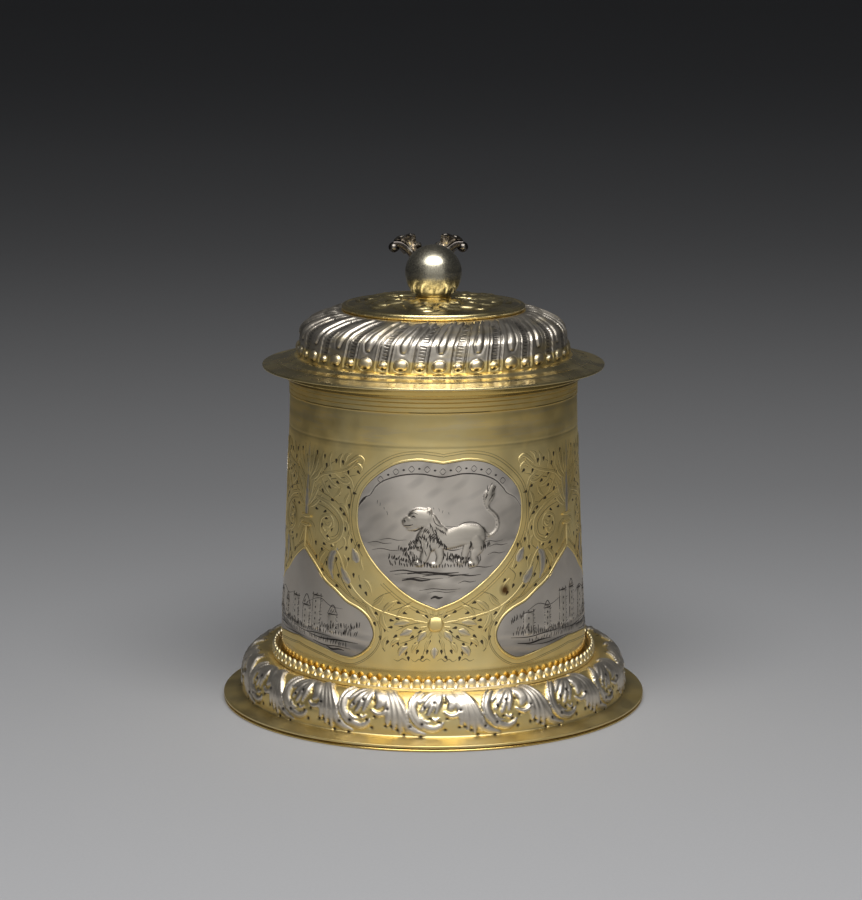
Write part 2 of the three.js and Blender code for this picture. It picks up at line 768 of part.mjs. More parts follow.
// Carries a section of [across, out] points along the handle from one share of its length to another.
function sweepHandle(sectionAt, from = 0, to = 1, steps = sweepSteps) {
  const positions = [];
  let corners = 0;
  for (let step = 0; step <= steps; step += 1) {
    const along = from + ((to - from) * step) / steps;
    const middle = handleSpine.getPointAt(along);
    const tangent = handleSpine.getTangentAt(along);
    const section = sectionAt(along);
    corners = section.length;
    for (const [across, out] of section) {
      positions.push(across, middle.y - tangent.z * out, middle.z + tangent.y * out);
    }
  }
  const indices = [];
  for (let step = 0; step < steps; step += 1) {
    for (let corner = 0; corner < corners; corner += 1) {
      const here = step * corners + corner;
      const beside = step * corners + ((corner + 1) % corners);
      indices.push(here, here + corners, beside + corners);
      indices.push(here, beside + corners, beside);
    }
  }
  const flat = (along) => sectionAt(along).map(([across, out]) => new THREE.Vector2(across, out));
  for (const [a, b, c] of THREE.ShapeUtils.triangulateShape(flat(from), [])) indices.push(a, b, c);
  const last = steps * corners;
  for (const [a, b, c] of THREE.ShapeUtils.triangulateShape(flat(to), [])) {
    indices.push(last + a, last + c, last + b);
  }
  return indexedGeometry(positions, indices);
}

function arch(halfWidth, base, crown, steps) {
  return Array.from({ length: steps + 1 }, (_, step) => {
    const angle = (Math.PI * step) / steps;
    const across = Math.sign(Math.cos(angle)) * Math.abs(Math.cos(angle)) ** 0.7;
    return [halfWidth * across, base + (crown - base) * Math.sin(angle) ** 0.7];
  });
}

function handleWidthAt(along) {
  return THREE.MathUtils.lerp(handleWidth, handleTailWidth, along);
}

function handleOuter() {
  const base = -handleDepth / 2 + handleSheet + solderGap;
  return sweepHandle((along) => {
    const half = handleWidthAt(along) / 2;
    const inside = arch(half - handleSheet, base, handleDepth / 2 - handleSheet, 6).reverse();
    return [...arch(half, base, handleDepth / 2, 8), ...inside];
  });
}

function handleInner() {
  return sweepHandle((along) => {
    const half = handleWidthAt(along) / 2;
    const low = -handleDepth / 2;
    return [[half, low], [half, low + handleSheet], [-half, low + handleSheet], [-half, low]];
  });
}

function handleRib() {
  const base = handleDepth / 2 + solderGap;
  const from = 0.27;
  const to = 0.8;
  return sweepHandle((along) => {
    const half = THREE.MathUtils.lerp(ribWidth, ribTailWidth, (along - from) / (to - from)) / 2;
    return arch(half, base, base + ribHeight, 4);
  }, from, to, 18);
}

function handleHingeLeaf() {
  const bottom = knuckleBottom - handleLeaf;
  const shape = new THREE.Shape();
  const near = hingeY - knuckleRadius;
  shape.moveTo(near, bottom);
  shape.lineTo(near + handleLeafLength, bottom);
  shape.lineTo(near + handleLeafLength - 1, knuckleBottom);
  shape.lineTo(near, knuckleBottom);
  shape.closePath();
  return slabAcross(shape, 2 * hingeHalf);
}

function handleUpperPlate() {
  const shape = roundedPlate(upperPlateWidth, upperPlateHeight, handleStartZ, plateCorner);
  const slab = slabBack(shape, drumTopRadius / 2, handleStartY - solderGap);
  return cutAway(slab, drumEnvelope());
}

function handleLowerPad() {
  const shape = roundedPlate(lowerPadWidth, lowerPadHeight, handleLowHeight, plateCorner);
  const slab = slabBack(shape, drumTopRadius / 2, handleEndY - solderGap);
  return cutAway(slab, drumEnvelope());
}

// A blank shield that hangs from the handle's lower end and leans away from the drum.
function handleShield() {
  const half = shieldWidth / 2;
  const shape = new THREE.Shape();
  shape.moveTo(0, -shieldHeight);
  shape.quadraticCurveTo(half, -0.7 * shieldHeight, half, -0.3 * shieldHeight);
  shape.quadraticCurveTo(0.8 * half, -0.1 * shieldHeight, 0.5 * half, 0);
  shape.lineTo(-0.5 * half, 0);
  shape.quadraticCurveTo(-0.8 * half, -0.1 * shieldHeight, -half, -0.3 * shieldHeight);
  shape.quadraticCurveTo(-half, -0.7 * shieldHeight, 0, -shieldHeight);
  const underside = handleLowHeight - handleDepth / 2;
  const tilt = shieldThickness * Math.sin(shieldLean);
  return slabBack(shape, 0, shieldThickness)
    .rotateX(shieldLean)
    .translate(0, handleEndY + 0.5, underside - solderGap - tilt);
}

// Assembly
const vessel = new THREE.Group();
vessel.add(
  pieceOf("foot_edge_wire", footWire(), gilt),
  pieceOf("foot_skirt", footSkirt(), silver),
  pieceOf("gallery_ring", galleryRing(), gilt),
  pieceOf("drum_wall", drumWall(), gilt),
  pieceOf("drum_base", drumBase(), silver),
  pieceOf("lip_moulding", lipMoulding(), gilt),
  pieceOf("handle_outer_strap", handleOuter(), silver),
  pieceOf("handle_inner_strap", handleInner(), silver),
  pieceOf("handle_rib", handleRib(), gilt),
  pieceOf("handle_upper_plate", handleUpperPlate(), silver),
  pieceOf("handle_lower_pad", handleLowerPad(), silver),
  pieceOf("handle_shield", handleShield(), silver),
  pieceOf("handle_hinge_leaf", handleHingeLeaf(), silver),
  pieceOf("handle_knuckle_left", handleKnuckle(0), silver),
  pieceOf("handle_knuckle_middle", handleKnuckle(2), silver),
  pieceOf("handle_knuckle_right", handleKnuckle(4), silver),
  pieceOf("hinge_pin", hingePin(), silver),
  pieceOf("hinge_cap_left", pinCap(-1), silver),
  pieceOf("hinge_cap_right", pinCap(1), silver),
);

const lid = new THREE.Group();
lid.add(
  pieceOf("lid_shell", lidShell(), silver),
  pieceOf("lid_bezel", lidBezel(), gilt),
  pieceOf("lid_plateau", lidPlateau(), gilt),
  pieceOf("finial_collar", finialCollar(), gilt),
  pieceOf("finial_ball", finialBall(), silver),
  pieceOf("finial_pin", finialPin(), silver),
  pieceOf("finial_nut", finialNut(), silver),
  pieceOf("lid_hinge_leaf", lidLeaf(), silver),
  pieceOf("lid_knuckle_left", lidKnuckle(1), silver),
  pieceOf("lid_knuckle_right", lidKnuckle(3), silver),
  pieceOf("thumbpiece", thumbpiece(), silver),
);

const tankard = new THREE.Group();
tankard.add(vessel, lid);

// The origin goes under the middle of the whole, handle included.
const extent = new THREE.Box3().setFromObject(tankard);
tankard.position.y = -(extent.min.y + extent.max.y) / 2;

export default tankard;
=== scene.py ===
import math
import bpy
import numpy as np
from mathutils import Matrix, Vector


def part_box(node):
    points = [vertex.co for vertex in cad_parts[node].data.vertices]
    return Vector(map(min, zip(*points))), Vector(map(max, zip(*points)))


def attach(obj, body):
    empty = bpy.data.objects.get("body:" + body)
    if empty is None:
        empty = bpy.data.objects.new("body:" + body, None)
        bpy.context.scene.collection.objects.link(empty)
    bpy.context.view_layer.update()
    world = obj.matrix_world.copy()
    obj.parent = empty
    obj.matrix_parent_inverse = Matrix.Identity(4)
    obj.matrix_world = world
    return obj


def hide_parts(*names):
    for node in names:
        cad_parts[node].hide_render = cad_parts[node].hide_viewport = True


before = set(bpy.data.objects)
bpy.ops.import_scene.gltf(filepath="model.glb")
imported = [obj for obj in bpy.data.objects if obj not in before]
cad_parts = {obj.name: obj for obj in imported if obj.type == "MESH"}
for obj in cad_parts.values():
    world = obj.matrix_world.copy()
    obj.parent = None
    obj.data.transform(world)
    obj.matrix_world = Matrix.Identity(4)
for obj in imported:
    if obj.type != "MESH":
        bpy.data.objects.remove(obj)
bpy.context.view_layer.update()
print("frame loaded:", len(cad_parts), "nodes")

mm = 0.001
drumLow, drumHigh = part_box("drum_wall")
axisY = (drumLow.y + drumHigh.y) / 2  # the drum's axis stands at x = 0 and this y

# What a user would change

view = {
    "distance": 1.1,  # from the drum's axis
    "height": 0.308,
    "pitch": 10.53,  # degrees below level
    "turn": -1.9,  # degrees round the axis
    "lens": 71.97,
    "sensor": 24,
    "side": 0.001,  # slides the object to the right in the picture
}

light = {
    "keyPower": 19,
    "keySize": (1.5, 0.85),
    "keyDistance": 1.25,
    "keyTurn": 0,
    "keyRise": 60,
    "fillPower": 7,
    "fillSize": (3.2, 2.2),
    "fillDistance": 2.0,
    "fillTurn": 4,
    "fillRise": 16,
    "world": 0.05,
    "floor": ((0, 0.40), (0.12, 0.40), (0.18, 0.365), (0.22, 0.325), (0.264, 0.274), (0.41, 0.264),
              (0.515, 0.292), (0.70, 0.243), (1, 0.205)),  # how pale the floor is, from near to far: a painted fall-off of the light
    "mats": (0.36, 0.8, 1.3, 0.05),  # dark mats on the floor, standing in as painted shade for the unlit room: distance, width, length and paleness
}

finish = {
    "gold": (0.82, 0.63, 0.25),
    "paleGold": (0.83, 0.70, 0.38),
    "drumGold": (0.93, 0.72, 0.29),
    "drumPale": (0.94, 0.785, 0.39),
    "deepGold": (0.80, 0.56, 0.17),
    "greySilver": (0.66, 0.60, 0.51),
    "brightSilver": (0.86, 0.79, 0.68),
    "heartSilver": (0.77, 0.70, 0.605),
    "heartPale": (0.86, 0.79, 0.70),
    "ballGrey": (0.455, 0.42, 0.32),
    "ballPale": (0.54, 0.505, 0.405),
    # dark of oxide in cuts and hollows, also used for painted shade
    "oxide": (0.045, 0.038, 0.035),
    "brown": (0.13, 0.05, 0.012),
}


# Small helpers

def deselect():
    bpy.ops.object.select_all(action="DESELECT")


def smoothLine(points, count):
    # Catmull-Rom through the points, sampled evenly by parameter
    points = np.array(points, float)
    padded = np.vstack([2 * points[0] - points[1], points, 2 * points[-1] - points[-2]])
    where = np.linspace(0, len(points) - 1, count)
    index = np.minimum(where.astype(int), len(points) - 2)
    t = (where - index)[:, None]
    a, b, c, d = (padded[index + shift] for shift in range(4))
    return 0.5 * (2 * b + (c - a) * t + (2 * a - 5 * b + 4 * c - d) * t ** 2
                  + (3 * b - a - 3 * c + d) * t ** 3)


def evenLine(points, spacing):
    # straight runs between the points, cut to about the spacing
    fine = [points[0]]
    for start, end in zip(points, points[1:]):
        runs = max(1, round(math.dist(start, end) / spacing))
        fine += [tuple(s + (e - s) * step / runs for s, e in zip(start, end))
                 for step in range(1, runs + 1)]
    return fine


def quarter(centre, radii, start, end, steps):
    # elliptical arc of (radius, height) points, angles in degrees
    angles = [math.radians(start + (end - start) * step / steps) for step in range(steps + 1)]
    return [(centre[0] + radii[0] * math.cos(a), centre[1] + radii[1] * math.sin(a)) for a in angles]


def newPiece(name, places, links, faces):
    # places are in mm round the drum's axis
    mesh = bpy.data.meshes.new(name)
    moved = [(x * mm, y * mm + axisY, z * mm) for x, y, z in places]
    mesh.from_pydata(moved, links, faces)
    piece = bpy.data.objects.new(name, mesh)
    bpy.context.scene.collection.objects.link(piece)
    return piece


def spun(name, outline, steps, smoothAngle=40):
    # outline of (radius, height), its outer side going up; it closes itself unless it ends on the axis
    links = [(i, i + 1) for i in range(len(outline) - 1)]
    if outline[0][0] > 0 or outline[-1][0] > 0:
        links.append((len(outline) - 1, 0))
    piece = newPiece(name, [(radius, 0, height) for radius, height in outline], links, [])
    sector = max(count for count in range(1, 41) if steps % count == 0)
    editAll(piece)
    bpy.ops.mesh.spin(steps=sector, angle=2 * math.pi * sector / steps, center=(0, axisY, 0),
                      axis=(0, 0, 1))
    bpy.ops.object.mode_set(mode="OBJECT")
    ringOfCopies(piece, steps // sector)
    editAll(piece)
    bpy.ops.mesh.remove_doubles(threshold=0.002 * mm)
    bpy.ops.mesh.normals_make_consistent(inside=False)
    bpy.ops.object.mode_set(mode="OBJECT")
    bpy.ops.object.shade_smooth_by_angle(angle=math.radians(smoothAngle))
    return piece


def editAll(piece):
    deselect()
    piece.select_set(True)
    bpy.context.view_layer.objects.active = piece
    bpy.ops.object.mode_set(mode="EDIT")
    bpy.ops.mesh.select_all(action="SELECT")


def solidOf(name, places, faces, smoothAngle):
    # a closed shape from its places and faces, turned outwards and shaded smooth below the angle
    piece = newPiece(name, places, [], faces)
    editAll(piece)
    bpy.ops.mesh.normals_make_consistent(inside=False)
    bpy.ops.object.mode_set(mode="OBJECT")
    bpy.ops.object.shade_smooth_by_angle(angle=math.radians(smoothAngle))
    return piece


def ringOfCopies(piece, count):
    # the mesh becomes count copies of itself, turned evenly round the drum's axis
    places = readPlaces(piece)
    faces = [tuple(face.vertices) for face in piece.data.polygons]
    allPlaces, allFaces = [], []
    for copy in range(count):
        angle = 2 * math.pi * copy / count
        c, s = math.cos(angle), math.sin(angle)
        turned = np.stack([places[:, 0] * c - places[:, 1] * s, places[:, 0] * s + places[:, 1] * c,
                           places[:, 2]], 1)
        allPlaces.append(turned)
        allFaces += [tuple(corner + copy * len(places) for corner in face) for face in faces]
    moved = np.vstack(allPlaces) * mm
    moved[:, 1] += axisY
    piece.data.clear_geometry()
    piece.data.from_pydata(moved.tolist(), [], allFaces)


def readPlaces(piece):
    flat = np.zeros(len(piece.data.vertices) * 3)
    piece.data.vertices.foreach_get("co", flat)
    places = flat.reshape(-1, 3)
    places[:, 1] -= axisY
    return places / mm


def writePlaces(piece, places):
    moved = places * mm
    moved[:, 1] += axisY
    piece.data.vertices.foreach_set("co", moved.ravel())
    piece.data.update()


def paint(piece, **masks):
    # masks that the materials read, one number for each vertex
    for name in ("ungilt", "tarnish"):
        values = np.clip(masks.get(name, np.zeros(1)), 0, 1).astype(np.float32)
        if len(values) == 1:
            values = np.full(len(piece.data.vertices), values[0], np.float32)
        attribute = piece.data.attributes.new(name, "FLOAT", "POINT")
        attribute.data.foreach_set("value", values)


def lengthAlong(rows):
    # how far each point of an outline lies from its start
    return np.concatenate([[0], np.cumsum(np.linalg.norm(np.diff(rows, axis=0), axis=1))])


def carve(piece, outline, reliefAt):
    # lifts the vertices along the outline's own normals by reliefAt(angle, along, radius, height)
    rows = np.array(outline, float)
    ahead = np.roll(rows, -1, 0) - np.roll(rows, 1, 0)
    if outline[-1][0] == 0 or outline[0][0] == 0:
        ahead[0], ahead[-1] = rows[1] - rows[0], rows[-1] - rows[-2]
    normals = np.stack([ahead[:, 1], -ahead[:, 0]], 1)
    normals /= np.linalg.norm(normals, axis=1)[:, None]
    along = lengthAlong(rows)
    places = readPlaces(piece)
    radius = np.hypot(places[:, 0], places[:, 1])
    nearest = np.argmin((radius[:, None] - rows[:, 0]) ** 2
                        + (places[:, 2][:, None] - rows[:, 1]) ** 2, 1)
    angle = np.arctan2(places[:, 0], -places[:, 1])
    lift, masks = reliefAt(angle, along[nearest], radius, places[:, 2])
    outward = normals[nearest] * lift[:, None]
    newRadius = radius + outward[:, 0]
    places[:, 0] = newRadius * np.sin(angle)
    places[:, 1] = -newRadius * np.cos(angle)
    places[:, 2] += outward[:, 1]
    writePlaces(piece, places)
    paint(piece, **masks)


def wobble(a, b, scale, seed):
    # slow unevenness of hammered sheet, about -1 to 1
    random = np.random.default_rng(abs(seed))
    total = np.zeros(np.shape(a))
    for octave in range(5):
        turn, phase = random.uniform(0, math.pi), random.uniform(0, 2 * math.pi)
        size = scale * random.uniform(0.7, 1.5)
        total = total + np.sin((a * math.cos(turn) + b * math.sin(turn)) / size + phase)
    return total / 3


# Strokes: each raised or cut mark is a curved line with a width and a height along it

def stroke(path, width, height, samples=20, flutes=0, flat=0.0):
    line = smoothLine(path, samples)
    share = np.linspace(0, 1, samples)
    widths = np.interp(share, np.linspace(0, 1, len(width)), width) / 2
    heights = np.interp(share, np.linspace(0, 1, len(height)), height)
    return {"line": line, "half": widths, "height": heights, "flutes": flutes, "flat": flat}


def movedStroke(mark, shift):
    return {**mark, "line": mark["line"] + np.array(shift)}


def strokeField(u, v, marks):
    # highest stroke at each point, with how far inside its edge the point lies
    top = np.zeros(len(u))
    inside = np.zeros(len(u))
    for mark in marks:
        line, half = mark["line"], mark["half"]
        reach = half.max() + 0.3
        low, high = line.min(0) - reach, line.max(0) + reach
        near = np.nonzero((u > low[0]) & (u < high[0]) & (v > low[1]) & (v < high[1]))[0]
        if len(near) == 0:
            continue
        point = np.stack([u[near], v[near]], 1)
        best = np.full(len(near), 1e9)
        bestAcross = np.zeros(len(near))
        bestHeight = np.zeros(len(near))
        for i in range(len(line) - 1):
            run = line[i + 1] - line[i]
            length = max(run @ run, 1e-9)
            t = np.clip(((point - line[i]) @ run) / length, 0, 1)
            offset = point - line[i] - t[:, None] * run
            distance = np.hypot(offset[:, 0], offset[:, 1])
            width = half[i] + (half[i + 1] - half[i]) * t + 1e-4
            share = distance / width
            closer = share < best
            side = np.sign(run[0] * offset[:, 1] - run[1] * offset[:, 0])
            best = np.where(closer, share, best)
            bestAcross = np.where(closer, share * side, bestAcross)
            level = mark["height"][i] + (mark["height"][i + 1] - mark["height"][i]) * t
            bestHeight = np.where(closer, level, bestHeight)
        share = np.clip(best, 0, 1)
        table = np.clip((1 - share) * 5, 0, 1)
        rise = np.sqrt(1 - share ** 2) * (1 - mark["flat"]) + mark["flat"] * table
        if mark["flutes"]:
            rise *= 1 - 0.17 * (0.5 - 0.5 * np.cos(2 * math.pi * mark["flutes"] * (bestAcross * 0.5 + 0.5)))
        lift = bestHeight * rise
        over = (lift > top[near]) if mark["height"].max() > 0 else (lift < top[near])
        hit = near[over & (best < 1)]
        top[hit] = lift[over & (best < 1)]
        inside[hit] = 1 - share[over & (best < 1)]
    return top, inside


print("helpers ready")


# Materials

def newMaterial(name):
    material = bpy.data.materials.new(name)
    material.use_nodes = True
    return material, material.node_tree


def addNode(tree, kind, **settings):
    node = tree.nodes.new(kind)
    for key, value in settings.items():
        setattr(node, key, value)
    return node


def noiseOf(tree, coordinates, scale, detail=4, stretch=(1, 1, 1), roughness=0.55):
    mapping = addNode(tree, "ShaderNodeMapping")
    mapping.inputs["Scale"].default_value = stretch
    tree.links.new(coordinates, mapping.inputs["Vector"])
    noise = addNode(tree, "ShaderNodeTexNoise")
    noise.inputs["Scale"].default_value = scale
    noise.inputs["Detail"].default_value = detail
    noise.inputs["Roughness"].default_value = roughness
    tree.links.new(mapping.outputs["Vector"], noise.inputs["Vector"])
    return noise.outputs["Fac"]


def rangeOf(tree, source, low, high, toLow=0.0, toHigh=1.0):
    node = addNode(tree, "ShaderNodeMapRange", clamp=True)
    for name, value in (("From Min", low), ("From Max", high), ("To Min", toLow), ("To Max", toHigh)):
        node.inputs[name].default_value = value
    tree.links.new(source, node.inputs["Value"])
    return node.outputs["Result"]


def mixColour(tree, share, first, second):
    node = addNode(tree, "ShaderNodeMix", data_type="RGBA")
    for socket, value in ((node.inputs[0], share), (node.inputs[6], first), (node.inputs[7], second)):
        if isinstance(value, tuple):
            socket.default_value = (*value, 1)
        elif isinstance(value, (int, float)):
            socket.default_value = value
        else:
            tree.links.new(value, socket)
    return node.outputs[2]


def maths(tree, operation, first, second=0.5):
    node = addNode(tree, "ShaderNodeMath", operation=operation, use_clamp=True)
    for socket, value in zip(node.inputs, (first, second)):
        if isinstance(value, (int, float)):
            socket.default_value = value
        else:
            tree.links.new(value, socket)
    return node.outputs[0]


def attributeOf(tree, name):
    return addNode(tree, "ShaderNodeAttribute", attribute_name=name).outputs["Fac"]


def metal(name, first, second, roughness, wear=0.5, drawn=(1, 1, 6), masks=True, grain=0.02, glow=0.0):
    # worn metal: two tones in soft clouds, fine streaks, and the painted masks
    material, tree = newMaterial(name)
    shader = tree.nodes["Principled BSDF"]
    shader.inputs["Metallic"].default_value = 1.0
    spot = addNode(tree, "ShaderNodeTexCoord").outputs["Object"]
    clouds = rangeOf(tree, noiseOf(tree, spot, 38, 5), 0.40, 0.66)
    streaks = rangeOf(tree, noiseOf(tree, spot, 60, 4, drawn), 0.42, 0.70)
    colour = mixColour(tree, maths(tree, "MULTIPLY", clouds, wear), first, second)
    silver = mixColour(tree, maths(tree, "MULTIPLY", streaks, 0.55), finish["greySilver"],
                       finish["brightSilver"])
    if masks:
        worn = maths(tree, "SUBTRACT", attributeOf(tree, "ungilt"),
                     maths(tree, "MULTIPLY", streaks, 0.35))
        colour = mixColour(tree, rangeOf(tree, worn, 0, 0.65), colour, silver)
        # the second mask darkens towards the oxide colour: real oxide in cuts and punches, and painted
        # shade on some pieces
        colour = mixColour(tree, attributeOf(tree, "tarnish"), colour, finish["oxide"])
    tree.links.new(colour, shader.inputs["Base Color"])
    smudges = rangeOf(tree, noiseOf(tree, spot, 95, 6), 0.3, 0.75, roughness - 0.07, roughness + 0.10)
    if glow:
        # specks too fine to be seen alone blur a part of each reflection
        specks = rangeOf(tree, noiseOf(tree, spot, 5200, 1), 0.5, 0.58, 0, glow)
        smudges = maths(tree, "ADD", smudges, specks)
    tree.links.new(smudges, shader.inputs["Roughness"])
    bump = addNode(tree, "ShaderNodeBump")
    bump.inputs["Strength"].default_value = 0.35
    bump.inputs["Distance"].default_value = grain * mm
    fine = noiseOf(tree, spot, 1400, 3, drawn)
    tree.links.new(fine, bump.inputs["Height"])
    tree.links.new(bump.outputs["Normal"], shader.inputs["Normal"])
    return material


def addFinish(piece, material, chosen):
    # a second material on the faces whose centre (radius, height) is chosen
    piece.data.materials.append(material)
    for face in piece.data.polygons:
        centre = face.center / mm
        if chosen(math.hypot(centre.x, centre.y - axisY / mm), centre.z):
            face.material_index = 1


def addSpot(material, place, reach, colour):
    # a round stain with a soft edge, at a place in metres
    tree = material.node_tree
    shader = tree.nodes["Principled BSDF"]
    under = shader.inputs["Base Color"].links[0].from_socket
    away = addNode(tree, "ShaderNodeVectorMath", operation="DISTANCE")
    tree.links.new(addNode(tree, "ShaderNodeTexCoord").outputs["Object"], away.inputs[0])
    away.inputs[1].default_value = place
    share = rangeOf(tree, away.outputs["Value"], 0.3 * reach * mm, reach * mm, 0.95, 0)
    tree.links.new(mixColour(tree, share, under, colour), shader.inputs["Base Color"])


def dress(piece, material, body, node=None):
    piece.data.materials.clear()
    piece.data.materials.append(material)
    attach(piece, body)
    if node:
        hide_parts(*([node] if isinstance(node, str) else node))
    return piece


drumGilt = metal("drumGilt", finish["drumGold"], finish["drumPale"], 0.50, 0.9, (1, 1, 9))
footMetal = metal("footMetal", finish["gold"], finish["paleGold"], 0.42, 0.6)
lidMetal = metal("lidMetal", finish["gold"], finish["paleGold"], 0.38, 0.5)
brimMetal = metal("brimMetal", finish["paleGold"], finish["gold"], 0.27, 0.6)
brightGilt = metal("brightGilt", finish["deepGold"], finish["gold"], 0.2, 0.6, masks=False)
chasedGilt = metal("chasedGilt", finish["drumGold"], finish["drumPale"], 0.48, 0.9, (1, 1, 9))
heartSilver = metal("heartSilver", finish["heartSilver"], finish["heartPale"], 0.44, 0.8, grain=0.035)
galleryGilt = metal("galleryGilt", finish["paleGold"], finish["brightSilver"], 0.46, 0.7, masks=False)
plainSilver = metal("plainSilver", finish["greySilver"], finish["brightSilver"], 0.28, 0.6, masks=False)
ballSilver = metal("ballSilver", finish["ballGrey"], finish["ballPale"], 0.20, 0.5, masks=False,
                   glow=0.2)
thumbSilver = metal("thumbSilver", finish["greySilver"], finish["brightSilver"], 0.24, 0.6)
print("materials ready")


# Camera, floor and light

def aim(thing, target):
    thing.rotation_euler = (Vector(target) - thing.location).to_track_quat("-Z", "Y").to_euler()


def makeCamera():
    camera = bpy.data.objects.new("camera", bpy.data.cameras.new("camera"))
    bpy.context.scene.collection.objects.link(camera)
    turn = math.radians(view["turn"])
    camera.location = (
        view["distance"] * math.sin(turn) - view["side"],
        axisY - view["distance"] * math.cos(turn),
        view["height"],
    )
    camera.rotation_euler = (math.radians(90 - view["pitch"]), 0, turn)
    camera.data.sensor_fit = "VERTICAL"
    camera.data.sensor_height = view["sensor"]
    camera.data.lens = view["lens"]
    camera.data.clip_end = 50
    bpy.context.scene.camera = camera


def makeFloor():
    deselect()
    bpy.ops.mesh.primitive_plane_add(size=24, location=(0, 6, 0))
    floor = bpy.context.object
    floor.name = "studioFloor"
    material, tree = newMaterial("floorPaintedFalloff")
    shader = tree.nodes["Principled BSDF"]
    shader.inputs["Roughness"].default_value = 0.9
    spot = addNode(tree, "ShaderNodeTexCoord").outputs["Object"]
    away = addNode(tree, "ShaderNodeSeparateXYZ")
    tree.links.new(spot, away.inputs[0])
    # painted fall-off of the light: the floor's colour darkens from near to far
    share = maths(tree, "POWER", rangeOf(tree, away.outputs["Y"], -6.5, 6.7), 0.5)
    ramp = addNode(tree, "ShaderNodeValToRGB")
    tree.links.new(share, ramp.inputs["Fac"])
    stops = ramp.color_ramp.elements
    for place, level in light["floor"][1:-1]:
        stops.new(place)
    for stop, (place, level) in zip(stops, light["floor"]):
        stop.position = place
        stop.color = (level, level, 1.02 * level, 1)
    speckle = rangeOf(tree, noiseOf(tree, spot, 900, 2), 0.3, 0.7, 0, 0.03)
    tree.links.new(mixColour(tree, speckle, ramp.outputs["Color"], (0, 0, 0)),
                   shader.inputs["Base Color"])
    floor.data.materials.append(material)


def makeMats():
    # dark sheets standing in for the unlit room, a painted shade seen in the drum's sides; they darken the
    # sides of the drum, and lie flat, so they hide nothing from any side
    away, width, length, level = light["mats"]
    material, tree = newMaterial("darkMat")
    tree.nodes["Principled BSDF"].inputs["Base Color"].default_value = (level, level, level, 1)
    tree.nodes["Principled BSDF"].inputs["Roughness"].default_value = 0.9
    for side in (-1, 1):
        deselect()
        bpy.ops.mesh.primitive_plane_add(size=1, location=(side * (away + width / 2), 0, 0.001))
        mat = bpy.context.object
        mat.name = "matLeft" if side < 0 else "matRight"
        mat.scale = (width, length, 1)
        mat.data.materials.append(material)


def makeLight(name, power, size, distance, turn, rise):
    lamp = bpy.data.lights.new(name, "AREA")
    lamp.shape = "ELLIPSE"
    lamp.size, lamp.size_y = size
    lamp.energy = power
    holder = bpy.data.objects.new(name, lamp)
    bpy.context.scene.collection.objects.link(holder)
    a, e = math.radians(turn), math.radians(rise)
    middle = Vector((0, axisY, 0.09))
    holder.location = middle + distance * Vector(
        (math.sin(a) * math.cos(e), -math.cos(a) * math.cos(e), math.sin(e))
    )
    aim(holder, middle)


makeCamera()
makeFloor()
makeMats()
makeLight("keyLight", light["keyPower"], light["keySize"], light["keyDistance"], light["keyTurn"],
          light["keyRise"])
makeLight("fillLight", light["fillPower"], light["fillSize"], light["fillDistance"], light["fillTurn"],
          light["fillRise"])
world = bpy.data.worlds.new("studio")
bpy.context.scene.world = world
world.use_nodes = True
world.node_tree.nodes["Background"].inputs["Color"].default_value = (0.93, 0.95, 1.0, 1)
world.node_tree.nodes["Background"].inputs["Strength"].default_value = light["world"]
bpy.context.scene.view_settings.view_transform = "Standard"
print("camera, floor and light ready")


# Drum

drum = {
    "bottomRadius": 63.9,
    "topRadius": 59.1,
    "taper": 1.3,
    "sheet": 1.3,
    "mouth": 134.8,
    "lip": 6.2,
    "lean": 0.0445,  # degrees for each mm of height, the hand's slant in the ornament
    "rings": (114.2, 115.3, 26.2),  # engraved lines round the drum
    "ringCut": (0.16, 0.28),  # their depth and half width
    "topBand": 115.6,  # above it the gilding is streaked with wear and darker, partly as painted shade under the brim
    "lipGrooves": (129.2, 131.2, 133.1),
    "lipCut": 0.28,  # depth of these grooves
    "steps": 360,
}
drumFoot = drumLow.z / mm
lipFoot = drum["mouth"] - drum["lip"]


def drumRadius(height):
    up = np.clip((height - drumFoot) / (drum["mouth"] - drumFoot), 0, 1)
    return drum["topRadius"] + (drum["bottomRadius"] - drum["topRadius"]) * (1 - up) ** drum["taper"]


def makeDrum():
    outer = [(drumRadius(height), height) for height in np.linspace(drumFoot, lipFoot, 150)]
    inner = [(drumRadius(height) - drum["sheet"], height)
             for height in np.linspace(lipFoot, drumFoot, 12)]
    outline = outer + inner
    piece = spun("drum", outline, drum["steps"])
    length = lipFoot - drumFoot

    def relief(angle, along, radius, height):
        outside = along < length
        dents = 0.05 * wobble(angle * 60, height, 9, 3)
        depth, width = drum["ringCut"]
        lines = sum(-depth * np.exp(-((height - ring) / width) ** 2) for ring in drum["rings"])
        dark = sum(0.35 * np.exp(-((height - ring) / 0.3) ** 2) for ring in drum["rings"])
        streaks = (0.25 + 0.55 * wobble(angle * 6, height, 0.9, 21)
                   + 0.3 * wobble(angle * 30, height, 4, 22))
        above = np.clip((height - drum["topBand"]) / 1.5, 0, 1)
        rubbed = np.clip(streaks, 0, 0.12) * above
        fine = np.clip(0.5 + 0.9 * wobble(angle * 4, height, 1.1, 23), 0, 1)
        # painted shade under the brim: the band above is darkened evenly, with darker streaks in it
        dark = dark + (0.04 + 0.2 * fine) * above
        masks = {"tarnish": np.where(outside, dark, 0), "ungilt": rubbed}
        return np.where(outside, dents + lines, 0), masks

    carve(piece, outline, relief)
    dress(piece, drumGilt, "vessel", "drum_wall")
    addFinish(piece, brightGilt, lambda radius, height: height < drum["rings"][2] - 0.3)
    return piece


